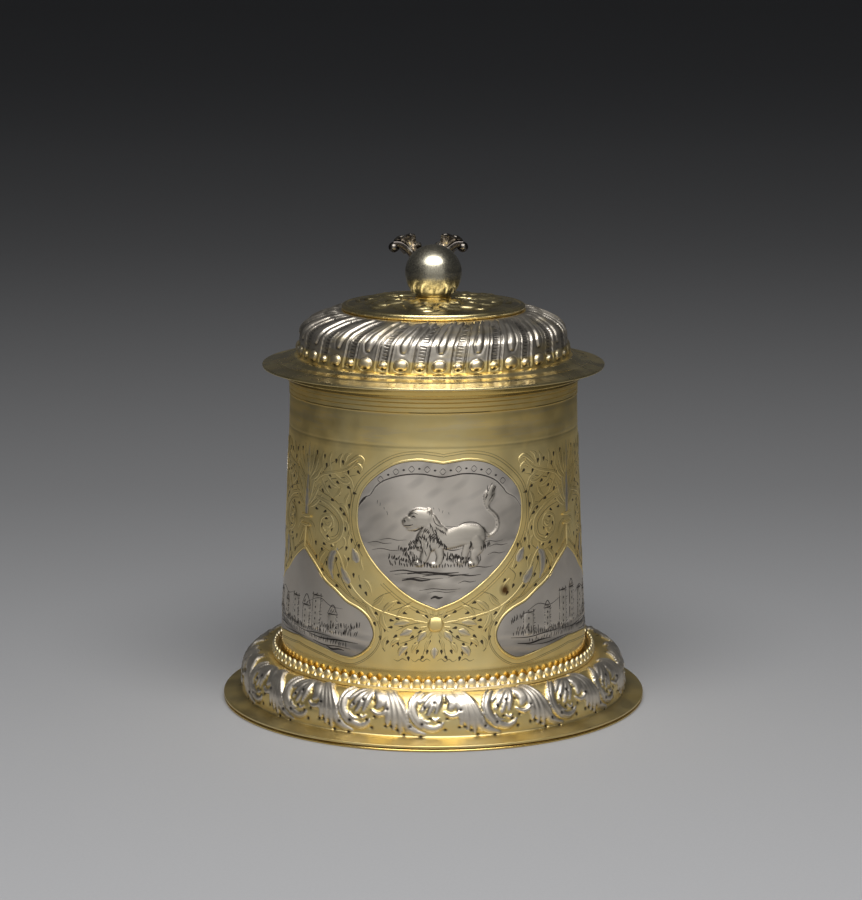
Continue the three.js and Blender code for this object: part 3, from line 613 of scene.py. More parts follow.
def makeLip():
    outer = drum["topRadius"] + 0.3
    inner = drum["topRadius"] - drum["sheet"]
    outline = [(inner, lipFoot), (outer - 0.1, lipFoot), (outer, lipFoot + 0.15)]
    for groove in drum["lipGrooves"]:
        outline += [(outer, groove - 0.25), (outer - drum["lipCut"], groove), (outer, groove + 0.25)]
    outline += quarter((outer - 0.5, drum["mouth"] - 0.5), (0.5, 0.5), 0, 90, 5)
    outline += quarter((inner + 0.4, drum["mouth"] - 0.4), (0.4, 0.4), 90, 180, 4)
    piece = spun("drumLip", outline, 240, 30)
    shade = np.zeros(len(piece.data.vertices))
    places = readPlaces(piece)
    radius = np.hypot(places[:, 0], places[:, 1])
    cut = (radius < outer - 0.2) & (radius > outer - 0.35)
    lowest = places[:, 2] < drum["lipGrooves"][0] + 0.4
    broken = np.sin(np.arctan2(places[:, 0], -places[:, 1]) * 7 + 1) > -0.3
    shade[cut] = 0.2
    shade[cut & lowest & broken] = 0.85
    paint(piece, tarnish=shade)
    return dress(piece, drumGilt, "vessel", "lip_moulding")


makeDrum()
makeLip()
print("drum ready")


# Ornament on the drum: places in degrees round the drum and mm of height

perDegree = 1.061  # mm of the drum's face for one degree
ornament = {
    "leafRise": 0.42,  # share of a leaf's written height
    "leanMiddle": 70,  # height at which the hand's slant is nothing
    "proud": 0.02,  # mm that each mark stands off its ground
    "sunk": 0.25,  # and how deep its root lies in it
    "cut": 0.02,
    "borderPoints": 240,  # round each heart
    "punch": 0.95,  # half length of a punched drop
    "boss": (44.8, 3.4, 5.6),  # height of the boss, and where its petals start and widen
}

heartUp = [(0, 108.8), (5, 109.6), (10.5, 110), (18, 108.3), (25, 103.5), (30.5, 97), (32.2, 88.7),
           (30.9, 80), (26, 71), (18, 62.5), (9, 55.5), (0, 51.3)]
heartDown = [(0, 69.2), (7.3, 63.9), (13.3, 58.5), (19.3, 55), (24.8, 51.3), (30.5, 48.9), (34.6, 45.5),
             (36.9, 39.9), (35.1, 34.5), (30.3, 30.4), (25.4, 29.6), (13.5, 31.6), (0, 33)]


def onDrum(degrees, height, lift):
    turned = np.radians(degrees + drum["lean"] * (height - ornament["leanMiddle"]))
    radius = drumRadius(height) + lift
    return np.stack([radius * np.sin(turned), -radius * np.cos(turned), height], 1)


def heartLine(half, count):
    # closed outline in mm round the heart's middle line, from its half
    half = np.array(half, float) * (perDegree, 1)
    right = smoothLine(half, count // 2 + 1)
    left = right[-2:0:-1] * (-1, 1)
    return np.vstack([right, left])


def widened(line, distance):
    # the closed line moved outwards; it runs clockwise
    ahead = np.roll(line, -1, 0) - np.roll(line, 1, 0)
    ahead = sum(np.roll(ahead, shift, 0) for shift in range(-3, 4))
    ahead /= np.linalg.norm(ahead, axis=1)[:, None]
    return line + np.stack([-ahead[:, 1], ahead[:, 0]], 1) * distance


def flatStroke(path, width, height, samples=18, kind="leaf", shade=0.0):
    # like stroke, but its path is in degrees and mm of height
    line = smoothLine([(degrees * perDegree, up) for degrees, up in path], samples)
    share = np.linspace(0, 1, samples)
    if isinstance(width, (int, float)):
        width = (width * 0.25, width * 0.9, width, width * 0.7, width * 0.15)
    half = np.interp(share, np.linspace(0, 1, len(width)), width) / 2
    if kind == "leaf":
        height = ornament["leafRise"] * height
    return {"line": line, "half": half, "height": height, "kind": kind, "shade": shade, "closed": False}


def mirrored(mark):
    return {**mark, "line": mark["line"] * (-1, 1)}


acrossLeaf = np.array([-1, -0.82, -0.5, -0.12, 0, 0.12, 0.5, 0.82, 1])
acrossPlain = np.array([-1, -0.75, -0.35, 0.35, 0.75, 1])


def strips(name, placed, ground=None):
    # placed lists (centre in degrees, mark); ground gives the surface's own relief
    places, faces, tarnish, ungilt = [], [], [], []
    total = 0
    for centre, mark in placed:
        line, half, kind = mark["line"], mark["half"], mark["kind"]
        across = acrossLeaf if kind == "leaf" else acrossPlain
        if mark["closed"]:
            ahead = np.roll(line, -1, 0) - np.roll(line, 1, 0)
        else:
            ahead = np.gradient(line, axis=0)
        ahead /= np.linalg.norm(ahead, axis=1)[:, None] + 1e-9
        side = np.stack([ahead[:, 1], -ahead[:, 0]], 1)
        count, corners = len(line), len(across) + 1
        spots = line[:, None, :] + side[:, None, :] * (half[:, None] * across)[:, :, None]
        thin = np.clip(half / (half.max() + 1e-9) * 1.3, 0.25, 1)
        lift = mark["height"] * thin[:, None] * (1 - across ** 2) ** 0.7
        shade = np.zeros_like(lift) + mark["shade"]
        rubbed = (np.clip(1.4 * half.max() - 1.7, 0, 0.85)
                  * np.clip(1.3 - 1.2 * np.abs(across), 0, 1) + 0 * lift)
        # painted shade: a leaf's dark edges and vein and a ridge's dark edges stand in for shade where the
        # relief meets its ground and in the vein, together with the dark of the chased outline
        if kind == "leaf":
            lift = lift * (1 - 0.38 * np.exp(-(across / 0.16) ** 2))
            shade = shade + 0.4 * np.exp(-(across / 0.1) ** 2) + 0.85 * (np.abs(across) > 0.95)
        elif kind == "ridge":
            shade = shade + 0.5 * (np.abs(across) > 0.95)
        elif kind == "pit":
            lift = 0.03 + 0 * lift
        base = ground(spots[:, :, 0], spots[:, :, 1]) if ground else 0
        low = ground(line[:, 0], line[:, 1]) if ground else 0
        degrees = centre + spots[:, :, 0] / perDegree
        top = onDrum(degrees.ravel(), spots[:, :, 1].ravel(), (lift + base + ornament["proud"]).ravel())
        under = onDrum(centre + line[:, 0] / perDegree, line[:, 1],
                       np.zeros(count) + low - ornament["sunk"])
        body = np.concatenate([top.reshape(count, corners - 1, 3), under[:, None, :]], 1).reshape(-1, 3)
        places.append(body)
        # painted shade: each strip's hidden root is half dark, so its sides darken towards the ground
        tarnish.append(np.concatenate([shade, np.full((count, 1), 0.5)], 1).ravel())
        ungilt.append(np.concatenate([rubbed * (kind == "leaf"), np.zeros((count, 1))], 1).ravel())
        last = count if mark["closed"] else count - 1
        for step in range(last):
            here, after = total + step * corners, total + (step + 1) % count * corners
            for corner in range(corners):
                beside = (corner + 1) % corners
                faces.append((here + corner, here + beside, after + beside, after + corner))
        if not mark["closed"]:
            faces.append(tuple(total + corner for corner in reversed(range(corners))))
            faces.append(tuple(total + (count - 1) * corners + corner for corner in range(corners)))
        total += count * corners
    piece = solidOf(name, np.vstack(places).tolist(), faces, 60)
    paint(piece, tarnish=np.concatenate(tarnish), ungilt=np.concatenate(ungilt))
    return piece


def leafMarks():
    # half of the foliage between two upright hearts, from 0 to 60 degrees
    leaf, marks = flatStroke, []
    marks += [
        # stem and volute
        leaf([(46, 76), (40, 70), (36, 62), (31, 55.5), (24, 50.5), (16, 48), (8, 46.6)],
             (0.7, 1.1, 1.0, 1.0, 0.9, 0.6), 0.42, 36),
        leaf([(58, 93), (53, 91.5), (46, 89.5), (39.5, 84), (39.8, 77.5), (45, 74.5), (50.5, 78),
              (50, 83.5), (45.5, 85), (43.5, 81.5), (46, 79.5)], (0.8, 1.9, 2.0, 1.9, 1.6, 1.3, 0.7),
             0.55, 56),
        leaf([(44.4, 82.8), (46.2, 81.0), (48.4, 82.2)], 2.4, 0.7),
        leaf([(45.6, 79.0), (47.4, 77.8), (49.0, 79.8)], 1.9, 0.6),
        leaf([(41.4, 90.4), (38.6, 89.4), (36.6, 86.6)], 2.1, 0.45),
        leaf([(38.6, 84.4), (36.8, 82.2), (36.4, 79.2)], 2.0, 0.45),
        leaf([(38.6, 77.6), (37.4, 75.2), (38.2, 72.6)], 1.9, 0.45),
        leaf([(41.2, 74.6), (42.2, 72.2), (44.8, 70.6)], 2.1, 0.45),
        # fans beside the candelabrum
        leaf([(59.2, 88), (57.2, 94), (55.4, 101.2)], 2.7, 0.5),
        leaf([(58.6, 87.6), (54.8, 92.6), (52.0, 97.6)], 2.6, 0.5),
        leaf([(58.0, 86.6), (53.6, 89.6), (50.0, 93.4)], 2.3, 0.45),
        leaf([(59.2, 99.5), (57.4, 105.6), (56.6, 112.3)], 2.5, 0.5),
        leaf([(58.8, 98.6), (55.6, 103.4), (53.2, 109.2)], 2.4, 0.5),
        leaf([(58.4, 97.6), (54.0, 100.6), (50.8, 105.2)], 2.2, 0.45),
        leaf([(59.2, 78.6), (56.6, 74.4), (54.8, 69.8)], 2.4, 0.5),
        leaf([(58.2, 81.0), (55.2, 79.4), (53.2, 75.6)], 2.0, 0.45),
        # upper scroll and its bud
        leaf([(57, 96), (51, 101), (44, 103), (38, 105), (34, 108.6)],
             (0.7, 1.3, 1.3, 1.1, 0.7), 0.45, 26),
        leaf([(38.8, 106.2), (36.2, 108.6), (33.2, 110.4), (31.0, 109.0), (32.0, 107.0)],
             (0.8, 1.9, 1.9, 1.4, 0.6), 0.8, 22),
        leaf([(36.0, 105.6), (33.6, 107.2), (31.8, 105.8), (32.4, 104.0)], (0.7, 1.6, 1.4, 0.5), 0.7),
        leaf([(39.4, 107.4), (38.8, 110.2), (36.4, 111.6)], 1.8, 0.65),
        leaf([(41.6, 105.0), (42.2, 108.4), (40.6, 111.2)], 2.0, 0.55),
        leaf([(46.2, 103.6), (47.6, 107.2), (46.2, 111.2)], 2.3, 0.5),
        leaf([(50.2, 102.6), (51.6, 106.4), (50.8, 110.6)], 2.1, 0.5),
        leaf([(44.6, 102.4), (41.2, 100.2), (37.6, 99.6), (35.8, 101.8)], 2.1, 0.5),
        leaf([(48.4, 101.2), (45.4, 98.2), (41.4, 96.8)], 2.3, 0.5),
        leaf([(51.4, 100.0), (49.4, 96.4), (46.0, 93.4)], 2.2, 0.5),
        leaf([(40.6, 103.2), (36.8, 101.0), (34.6, 97.0)], 1.8, 0.4),
        # chain of leaves between the hearts
        leaf([(36.6, 95.6), (38.2, 92.4), (38.0, 89.4)], 1.7, 0.4),
        leaf([(40.6, 97.2), (41.8, 94.6), (44.4, 92.4)], 1.7, 0.4),
        leaf([(34.8, 79.8), (36.2, 76.4), (35.2, 72.6)], 1.8, 0.42),
        leaf([(31.2, 68.0), (32.4, 70.6), (33.8, 73.4)], (2.2, 4.4, 3.6, 0.6), 0.85),
        leaf([(28.6, 65.0), (29.8, 67.4), (30.0, 70.2)], 1.7, 0.45),
        leaf([(34.2, 59.2), (36.2, 61.6), (38.4, 65.2)], (2.4, 4.6, 3.8, 0.5), 0.85),
        leaf([(40.4, 72.6), (43.2, 69.4), (43.6, 64.4), (42.0, 59.6)],
             (0.9, 3.6, 4.4, 3.0, 0.5), 0.5, 24),
        leaf([(46.4, 71.0), (49.4, 68.0), (50.2, 63.4)], 2.3, 0.45),
        leaf([(37.8, 70.4), (36.2, 67.2), (36.6, 63.8)], 1.9, 0.42),
        leaf([(46.0, 60.8), (48.8, 60.0), (52.0, 62.6)], 1.6, 0.35),
        leaf([(28.0, 61.6), (25.8, 58.8), (24.4, 55.2)], 1.8, 0.45),
        # leaves of the stem beside the rosette
        leaf([(24.2, 50.9), (21.4, 53.2), (19.4, 56.4)], 2.2, 0.5),
        leaf([(19.8, 49.2), (17.4, 52.0), (14.4, 54.0)], 2.6, 0.7),
        leaf([(26.4, 52.2), (24.4, 48.2), (21.4, 45.2)], 2.6, 0.6),
        leaf([(20.2, 48.8), (19.6, 44.8), (17.0, 41.2)], 2.4, 0.5),
        leaf([(14.4, 47.8), (12.0, 50.8), (9.2, 52.2)], 2.0, 0.5),
        leaf([(17.4, 39.6), (18.8, 36.4), (17.8, 33.2)], 1.6, 0.4),
        # lower spray
        leaf([(3.4, 41.8), (4.8, 40.2), (6.2, 38.0)], (1.2, 3.2, 2.8, 0.6), 0.7),
        leaf([(8.4, 42.2), (10.6, 41.4), (12.8, 40.2)], (1.0, 3.4, 2.6, 0.6), 0.7),
        leaf([(9.6, 45.6), (12.6, 45.2), (15.2, 44.4)], (0.8, 3.0, 2.6, 0.6), 0.6),
        leaf([(6.0, 37.2), (7.4, 35.4), (8.2, 33.2)], (0.8, 2.2, 1.6, 0.5), 0.5),
        leaf([(9.8, 35.8), (11.8, 34.0), (12.6, 31.8)], (1.0, 3.2, 2.8, 0.6), 0.7),
        leaf([(12.8, 38.6), (14.8, 37.4), (16.2, 35.6)], 1.9, 0.45),
        leaf([(1.8, 39.2), (2.9, 36.6), (3.2, 33.8)], 1.5, 0.4),
    ]
    for turn, far in ((12, 6.4), (34, 8.2), (56, 6.6), (80, 9.6), (104, 6.2), (128, 7.4), (152, 5.6)):
        # thin petals round the boss
        c, s = math.cos(math.radians(90 - turn)), math.sin(math.radians(90 - turn))
        height, start, widest = ornament["boss"]
        petal = [(away * c / perDegree, height + away * s) for away in (start, widest, far)]
        marks.append(leaf(petal, (0.5, 1.0, 0.35), 0.36, 9))
    return marks


def middleMarks():
    # what stands on the middle lines, so it isn't mirrored
    rosette = [
        flatStroke([(-2.9, 44.8), (-1.4, 44.8), (1.4, 44.8), (2.9, 44.8)], (1.2, 5.4, 6.2, 5.4, 1.2),
                   0.95, 14, "ridge"),
        flatStroke([(0, 35.6), (0, 33.6), (0, 31.2)], (1.0, 3.4, 2.8, 0.6), 0.7),
    ]
    candelabrum = [
        flatStroke([(0, 68.6), (0, 74), (0, 79)], (0.7, 1.6, 2.0), 0.55, 12, "ridge"),
        flatStroke([(-3.3, 79.2), (0, 79.0), (3.3, 79.2)], (0.8, 1.5, 0.8), 0.8, 12, "ridge"),
        flatStroke([(-3.6, 83.0), (0, 82.7), (3.6, 83.0)], (0.9, 1.7, 0.9), 0.85, 12, "ridge"),
        flatStroke([(0, 83.6), (0, 92), (0, 102)], (2.4, 3.6, 2.6, 0.5), 0.6, 20),
        flatStroke([(0, 99.6), (0, 106), (0, 113.2)], (1.2, 2.8, 2.2, 0.4), 0.6, 16),
    ]
    return rosette, candelabrum


def punchMarks():
    # dark drops and engraved lines of the half panel
    drops = [
        (22.2, 48.2, 40), (17.9, 50.6, 60), (13.8, 53.2, 20), (37.6, 103.6, 70), (34.2, 95.6, 10),
        (36.4, 90.2, 80), (34.4, 76.4, 90), (30.2, 66.2, 60), (38.4, 86.6, 30), (41.8, 94.2, 10),
        (46.4, 96.6, 30), (50.2, 94.6, 50), (54.2, 105.6, 60), (57.8, 107, 80), (43.4, 73.0, 20),
        (48.8, 70.6, 70), (52.6, 72.8, 80), (38.4, 66.4, 90), (34.0, 57.6, 40), (29.4, 58.4, 60),
        (39.8, 57.2, 30), (27.2, 52.4, 20), (44.2, 79.8, 90), (47.4, 83.8, 10), (46.0, 76.6, 20),
        (49.6, 80.6, 100), (33.0, 104.2, 40), (40.4, 107.4, 80), (43.8, 107.6, 90), (48.8, 105.2, 90),
        (52.4, 101.8, 50), (55.4, 97.8, 60), (57.6, 91.6, 60), (53.2, 86.8, 10), (35.4, 68.6, 100),
        (31.0, 74.6, 80), (39.4, 61.4, 60), (45.8, 65.6, 90), (47.8, 62.6, 40), (25.6, 61.0, 50),
        (16.2, 46.0, 10), (22.6, 44.0, 60), (18.6, 42.0, 90), (11.4, 49.2, 20), (10.6, 36.4, 120),
        (6.2, 33.8, 110), (14.6, 39.6, 140), (2.6, 33.8, 95), (12.6, 44.0, 160), (15.2, 36.2, 100),
        (10.2, 33.0, 90), (20.2, 38.6, 80), (3.4, 48.0, 40), (6.6, 49.8, 30), (6.8, 36.6, 70),
        (4.4, 31.4, 120), (8.4, 39.6, 140), (7.0, 43.4, 10), (16.6, 43.2, 170), (14.0, 46.8, 30),
        (17.4, 37.0, 110), (9.2, 30.9, 80), (2.0, 37.8, 100), (5.6, 41.8, 150), (13.4, 36.8, 60),
        (18.4, 34.2, 70), (26.8, 55.8, 60), (32.6, 62.6, 80), (36.6, 73.0, 100), (37.6, 80.6, 80),
        (40.2, 88.4, 50), (44.6, 91.6, 20), (48.4, 86.4, 150), (51.6, 90.4, 30), (56.2, 102.2, 70),
        (46.6, 101.4, 40), (42.4, 99.0, 30), (37.0, 97.6, 20), (35.4, 106.4, 60), (50.0, 108.6, 90),
        (54.6, 109.6, 80), (47.6, 73.2, 20), (41.0, 68.0, 90), (51.8, 67.2, 80),
    ]
    marks = []
    for degrees, height, turn in drops:
        c = math.cos(math.radians(turn)) * ornament["punch"]
        s = math.sin(math.radians(turn)) * ornament["punch"]
        path = [(degrees - c / perDegree, height - s), (degrees, height),
                (degrees + c / perDegree, height + s)]
        marks.append(flatStroke(path, (0.2, 0.5, 0.85, 1.2, 0.6), 0.03, 9, "pit", 0.92))
    lines = [
        [(56, 95.4), (49, 93.6), (42, 90.8), (36.6, 84.4), (36.8, 75.6), (42.6, 70.8), (49.6, 72.4)],
        [(54.6, 89.2), (46.8, 87.6), (41.2, 83.4), (41.4, 78.2), (45.4, 76.2)],
        [(33.6, 103.2), (40.6, 101.2), (47.6, 99.2), (54.6, 93.4)],
        [(37.2, 99.4), (35.6, 93.6), (37.2, 87.4)], [(41.4, 69.6), (42.6, 65.6), (41.8, 61.2)],
        [(44.6, 73.6), (41.6, 67.6), (37.8, 60.2), (32.2, 53.6), (25.2, 49.2)],
        [(31.6, 76.6), (33.4, 72.6)], [(27.2, 66.2), (30.2, 63.2), (29.6, 60.2)],
        [(52.6, 99.4), (48.6, 104.6), (44.2, 107.6)], [(56.4, 104.2), (54.6, 110.2)],
        [(16.6, 57.6), (20.6, 55.8), (23.6, 53.2)], [(8.6, 54.2), (12.6, 51.6), (16.6, 49.8)],
        [(3.6, 43.2), (7.6, 39.2), (12.6, 36.8)], [(3.2, 42.0), (6.2, 36.8), (8.2, 33.4)],
        [(1.2, 41), (3.2, 36), (4.2, 32)],
        [(4.4, 45.6), (9.6, 44.6), (14.4, 41.8)], [(48.6, 61.6), (46.6, 66.6), (44.6, 69.6)],
        [(1.2, 30.2), (2.6, 31.0), (4.0, 30.0), (5.4, 30.8), (6.8, 29.8), (8.2, 30.6)],
        [(9.8, 30.0), (11.4, 30.8), (13.0, 29.8), (14.6, 30.4)],
    ]
    for path in lines:
        marks.append(flatStroke(path, (0.1, 0.34, 0.36, 0.3, 0.08), ornament["cut"], 6 * len(path),
                                "pit", 0.62))
    return marks


def borderMarks(half, extra):
    # the raised border of a heart, and three cut lines at these distances from its edge
    count = ornament["borderPoints"]
    line = heartLine(half, count)

    def beside(distance, halfWidth, height, kind, shade):
        return {"line": widened(line, distance), "half": np.full(count, halfWidth), "height": height,
                "kind": kind, "shade": shade, "closed": True}

    cuts = ((0.05, 0.2, 0.95), (3.0, 0.14, 0.55), (extra, 0.13, 0.45))
    return ([beside(0.65, 0.5, 0.3, "ridge", 0.0)],
            [beside(distance, halfWidth, ornament["cut"], "pit", shade)
             for distance, halfWidth, shade in cuts])


def makeFoliage():
    half = leafMarks()
    rosette, candelabrum = middleMarks()
    punches = punchMarks()
    bandUp, cutUp = borderMarks(heartUp, 4.0)
    bandDown, cutDown = borderMarks(heartDown, 3.6)
    leaves, dark, bands = [], [], []
    for centre in (0, 120, 240):
        leaves += [(centre, mark) for mark in [*half, *map(mirrored, half), *rosette]]
        leaves += [(centre + 60, mark) for mark in candelabrum]
        dark += [(centre, mark) for mark in [*punches, *map(mirrored, punches), *cutUp]]
        dark += [(centre + 60, mark) for mark in cutDown]
        bands += [(centre, mark) for mark in bandUp] + [(centre + 60, mark) for mark in bandDown]
    dress(strips("drumFoliage", leaves), chasedGilt, "vessel")
    dress(strips("drumPunches", dark), chasedGilt, "vessel")
    dress(strips("heartBorders", bands), chasedGilt, "vessel")


makeFoliage()
stain = (25.9, 57.2, 2.8)  # degrees, height and radius of the brown stain
stainPlace = onDrum(np.array([stain[0]]), np.array([stain[1]]), 0.2)[0] * mm + (0, axisY, 0)
for material in (drumGilt, chasedGilt):
    addSpot(material, stainPlace, stain[2], finish["brown"])
print("foliage ready")


# Silver hearts: low relief on a fine grid, with the engraver's lines laid over it

heart = {
    "lift": 0.22,
    "upGrid": (400, 78),  # places round the outline and rings
    "downGrid": (380, 66),
    "upCentre": (0, 84),
    "downCentre": (0, 45),
}


def heartGrid(outline, centre, count, rings):
    line = heartLine(outline, count)
    middle = np.array(centre, float)
    share = np.linspace(0, 1, rings + 1)[1:]
    return np.vstack([middle[None]] + [middle + (line - middle) * part for part in share])


def makeHeart(name, turn, outline, centre, size, relief):
    count, rings = size
    spots = heartGrid(outline, centre, count, rings)
    lift, shade, bright = relief(spots[:, 0], spots[:, 1])
    top = onDrum(turn + spots[:, 0] / perDegree, spots[:, 1], lift + heart["lift"])
    edge = spots[-count:]
    skirt = onDrum(turn + edge[:, 0] / perDegree, edge[:, 1], np.full(count, -0.3))
    back = onDrum(np.array([turn]), np.array([float(centre[1])]), np.array([-0.3]))
    places = np.vstack([top, skirt, back])
    faces = []

    def ring(level):
        return 1 + (level - 1) * count

    for k in range(count):
        after = (k + 1) % count
        faces.append((0, ring(1) + after, ring(1) + k))
        for level in range(1, rings + 1):
            faces.append((ring(level) + k, ring(level) + after, ring(level + 1) + after,
                          ring(level + 1) + k))
        faces.append((ring(rings + 1) + k, ring(rings + 1) + after, len(places) - 1))
    piece = solidOf(name, places.tolist(), faces, 70)
    spare = np.full(count + 1, 0.5)
    paint(piece, tarnish=np.concatenate([shade, spare]), ungilt=np.concatenate([bright, 0 * spare]))
    return dress(piece, heartSilver, "vessel")


def engraved(points, width=0.34, samples=None):
    # an engraved line, in mm round the heart's middle line
    share = [(x / perDegree, z) for x, z in points]
    return flatStroke(share, (0.4 * width, width, width, 0.3 * width), ornament["cut"],
                      samples or 5 * len(points), "pit", 0.95)


def hatch(start, end, length, slope, count, seed, width=0.22):
    # a run of short cuts between two places
    random = np.random.default_rng(abs(seed))
    marks = []
    for share in np.linspace(0, 1, count):
        x = start[0] + (end[0] - start[0]) * share + random.uniform(-0.3, 0.3)
        z = start[1] + (end[1] - start[1]) * share + random.uniform(-0.3, 0.3)
        reach = length * random.uniform(0.6, 1.2)
        lean = math.radians(slope + random.uniform(-16, 16))
        middle = (x + 0.5 * reach * math.cos(lean), z + 0.5 * reach * math.sin(lean) + 0.1)
        tip = (x + reach * math.cos(lean), z + reach * math.sin(lean))
        marks.append(engraved([(x, z), middle, tip], width, 6))
    return marks


def bank(z, left, right, width, rises, samples):
    # one long wavy line of ground or water, from left to right
    points = [(left, z + rises[0]), ((2 * left + right) / 3, z + rises[1]),
              ((left + 2 * right) / 3, z + rises[2]), (right, z + rises[3])]
    return engraved(points, width, samples)


lionParts = [
    # path, width and height of each rounded form
    ([(14.6, 80.2), (9.5, 80.6), (4.0, 79.0), (-1.6, 78.8)], (8.2, 8.6, 7.6, 8.4),
     (1.1, 1.25, 1.05, 1.2)),
    ([(-1.0, 80.2), (-4.0, 79.2), (-6.2, 77.4)], (9.4, 10.4, 7.0), (1.15, 1.3, 0.9)),
    ([(-2.0, 81.6), (-4.0, 84.0), (-4.6, 86.6)], (8.4, 8.6, 6.4), (1.1, 1.25, 1.15)),
    ([(-6.8, 87.2), (-8.6, 87.3)], (8.4, 8.6), (1.6, 1.65)),
    ([(-10.2, 86.4), (-11.8, 86.0), (-12.9, 85.8)], (6.0, 5.4, 4.4), (1.55, 1.45, 1.2)),
    ([(-9.6, 84.2), (-11.2, 83.7), (-12.3, 83.5)], (3.2, 2.8, 2.0), (1.1, 0.95, 0.7)),
    ([(-5.6, 89.8), (-4.7, 90.5), (-4.1, 89.4)], (1.8, 2.0, 1.4), (1.2, 1.2, 0.9)),
    ([(-4.8, 77.0), (-5.4, 73.0), (-6.6, 69.8), (-8.6, 69.2)], (4.4, 3.6, 2.8, 2.2),
     (1.3, 1.15, 0.95, 0.8)),
    ([(-0.6, 76.0), (0.4, 72.6), (-0.4, 69.4), (-2.4, 68.8)], (3.6, 3.0, 2.4, 2.0),
     (0.8, 0.75, 0.65, 0.55)),
    ([(14.2, 79.0), (15.4, 75.4), (13.6, 72.4), (14.6, 69.4), (12.4, 68.8)], (6.2, 5.0, 3.0, 2.8, 2.0),
     (1.3, 1.2, 0.9, 0.85, 0.7)),
    ([(11.2, 76.4), (10.2, 73.4), (9.4, 70.4), (7.6, 69.6)], (3.6, 3.0, 2.3, 1.8),
     (0.75, 0.7, 0.6, 0.5)),
    ([(17.0, 81.8), (20.2, 79.8), (23.3, 82.6), (22.8, 87), (19.2, 90.6), (18.6, 92.8)],
     (1.3, 1.2, 1.1, 1.1, 1.1, 1.0), (0.5, 0.5, 0.5, 0.5, 0.5, 0.5)),
    ([(18.4, 92.4), (19.2, 95.6), (20.6, 98.8)], (2.0, 4.8, 2.2), (0.6, 0.8, 0.4)),
]


def lionRelief(u, v):
    forms = [stroke(path, width, height, 22) for path, width, height in lionParts]
    lift, inside = strokeField(u, v, forms)
    ground = 0.12 * np.sin(v * 1.15 + 0.22 * u) * np.clip((69 - v) / 5, 0, 1)
    hillTop = 75.5 + 1.6 * np.sin(u * 0.19 + 2)
    hills = 0.12 * np.clip(1 - np.abs(v - hillTop) / 1.6, 0, 1) * (inside == 0)
    ribbon = 0.14 * np.clip((v - ribbonFoot(u)) / 0.4, 0, 1)
    uneven = 0.045 * wobble(u, v, 3.2, 11)
    shade = 0.85 * np.clip(1 - inside * 4, 0, 1) * (inside > 0)
    blotches = 0.1 * wobble(u, v, 5.5, 12) + 0.16 * np.clip(wobble(u, v, 1.1, 14), 0, 1)
    shade = np.maximum(shade, 0.03 + blotches + 0.2 * np.clip((74 - v) / 12, 0, 1) * (inside == 0))
    shade = np.where(inside > 0.22, 0.0, shade)
    lift = lift * 0.95 + (ground + hills + ribbon) * (inside == 0) + uneven
    return lift, shade, np.clip(inside * 8, 0, 1)


ribbonLine = [(-34, 90.6), (-31.4, 94.4), (-29, 96), (-26.4, 99.8), (-22, 102.6), (-15, 104.6),
              (-8, 105.0), (0, 103.8), (8, 105.0), (15, 104.4), (21, 102.2), (25, 98.8), (27.2, 96.2),
              (31.0, 94.0), (34, 90.2)]


def ribbonFoot(u):
    return np.interp(u, *zip(*ribbonLine))


def ribbonMarks():
    # the band over an upright heart, with lozenges and pellets along it
    marks = [engraved(ribbonLine, 0.5, 110),
             engraved([(-33.8, 91.4), (-32.2, 93.6), (-30.6, 95.2)], 0.9)]
    topLine = np.array(heartUp[:6], float) * (perDegree, 1)
    for index, x in enumerate(np.linspace(-25, 25, 17)):
        z = 0.5 * float(ribbonFoot(x) + np.interp(abs(x), topLine[:, 0], topLine[:, 1])) - 0.3
        if index % 2:
            marks.append(engraved([(x - 0.5, z), (x, z + 0.05), (x + 0.5, z)], 0.8, 6))
        else:
            marks += [engraved([(x - 1.3, z), (x, z + 1.2), (x + 1.3, z)], 0.26, 8),
                      engraved([(x - 1.3, z), (x, z - 1.2), (x + 1.3, z)], 0.26, 8)]
    return marks


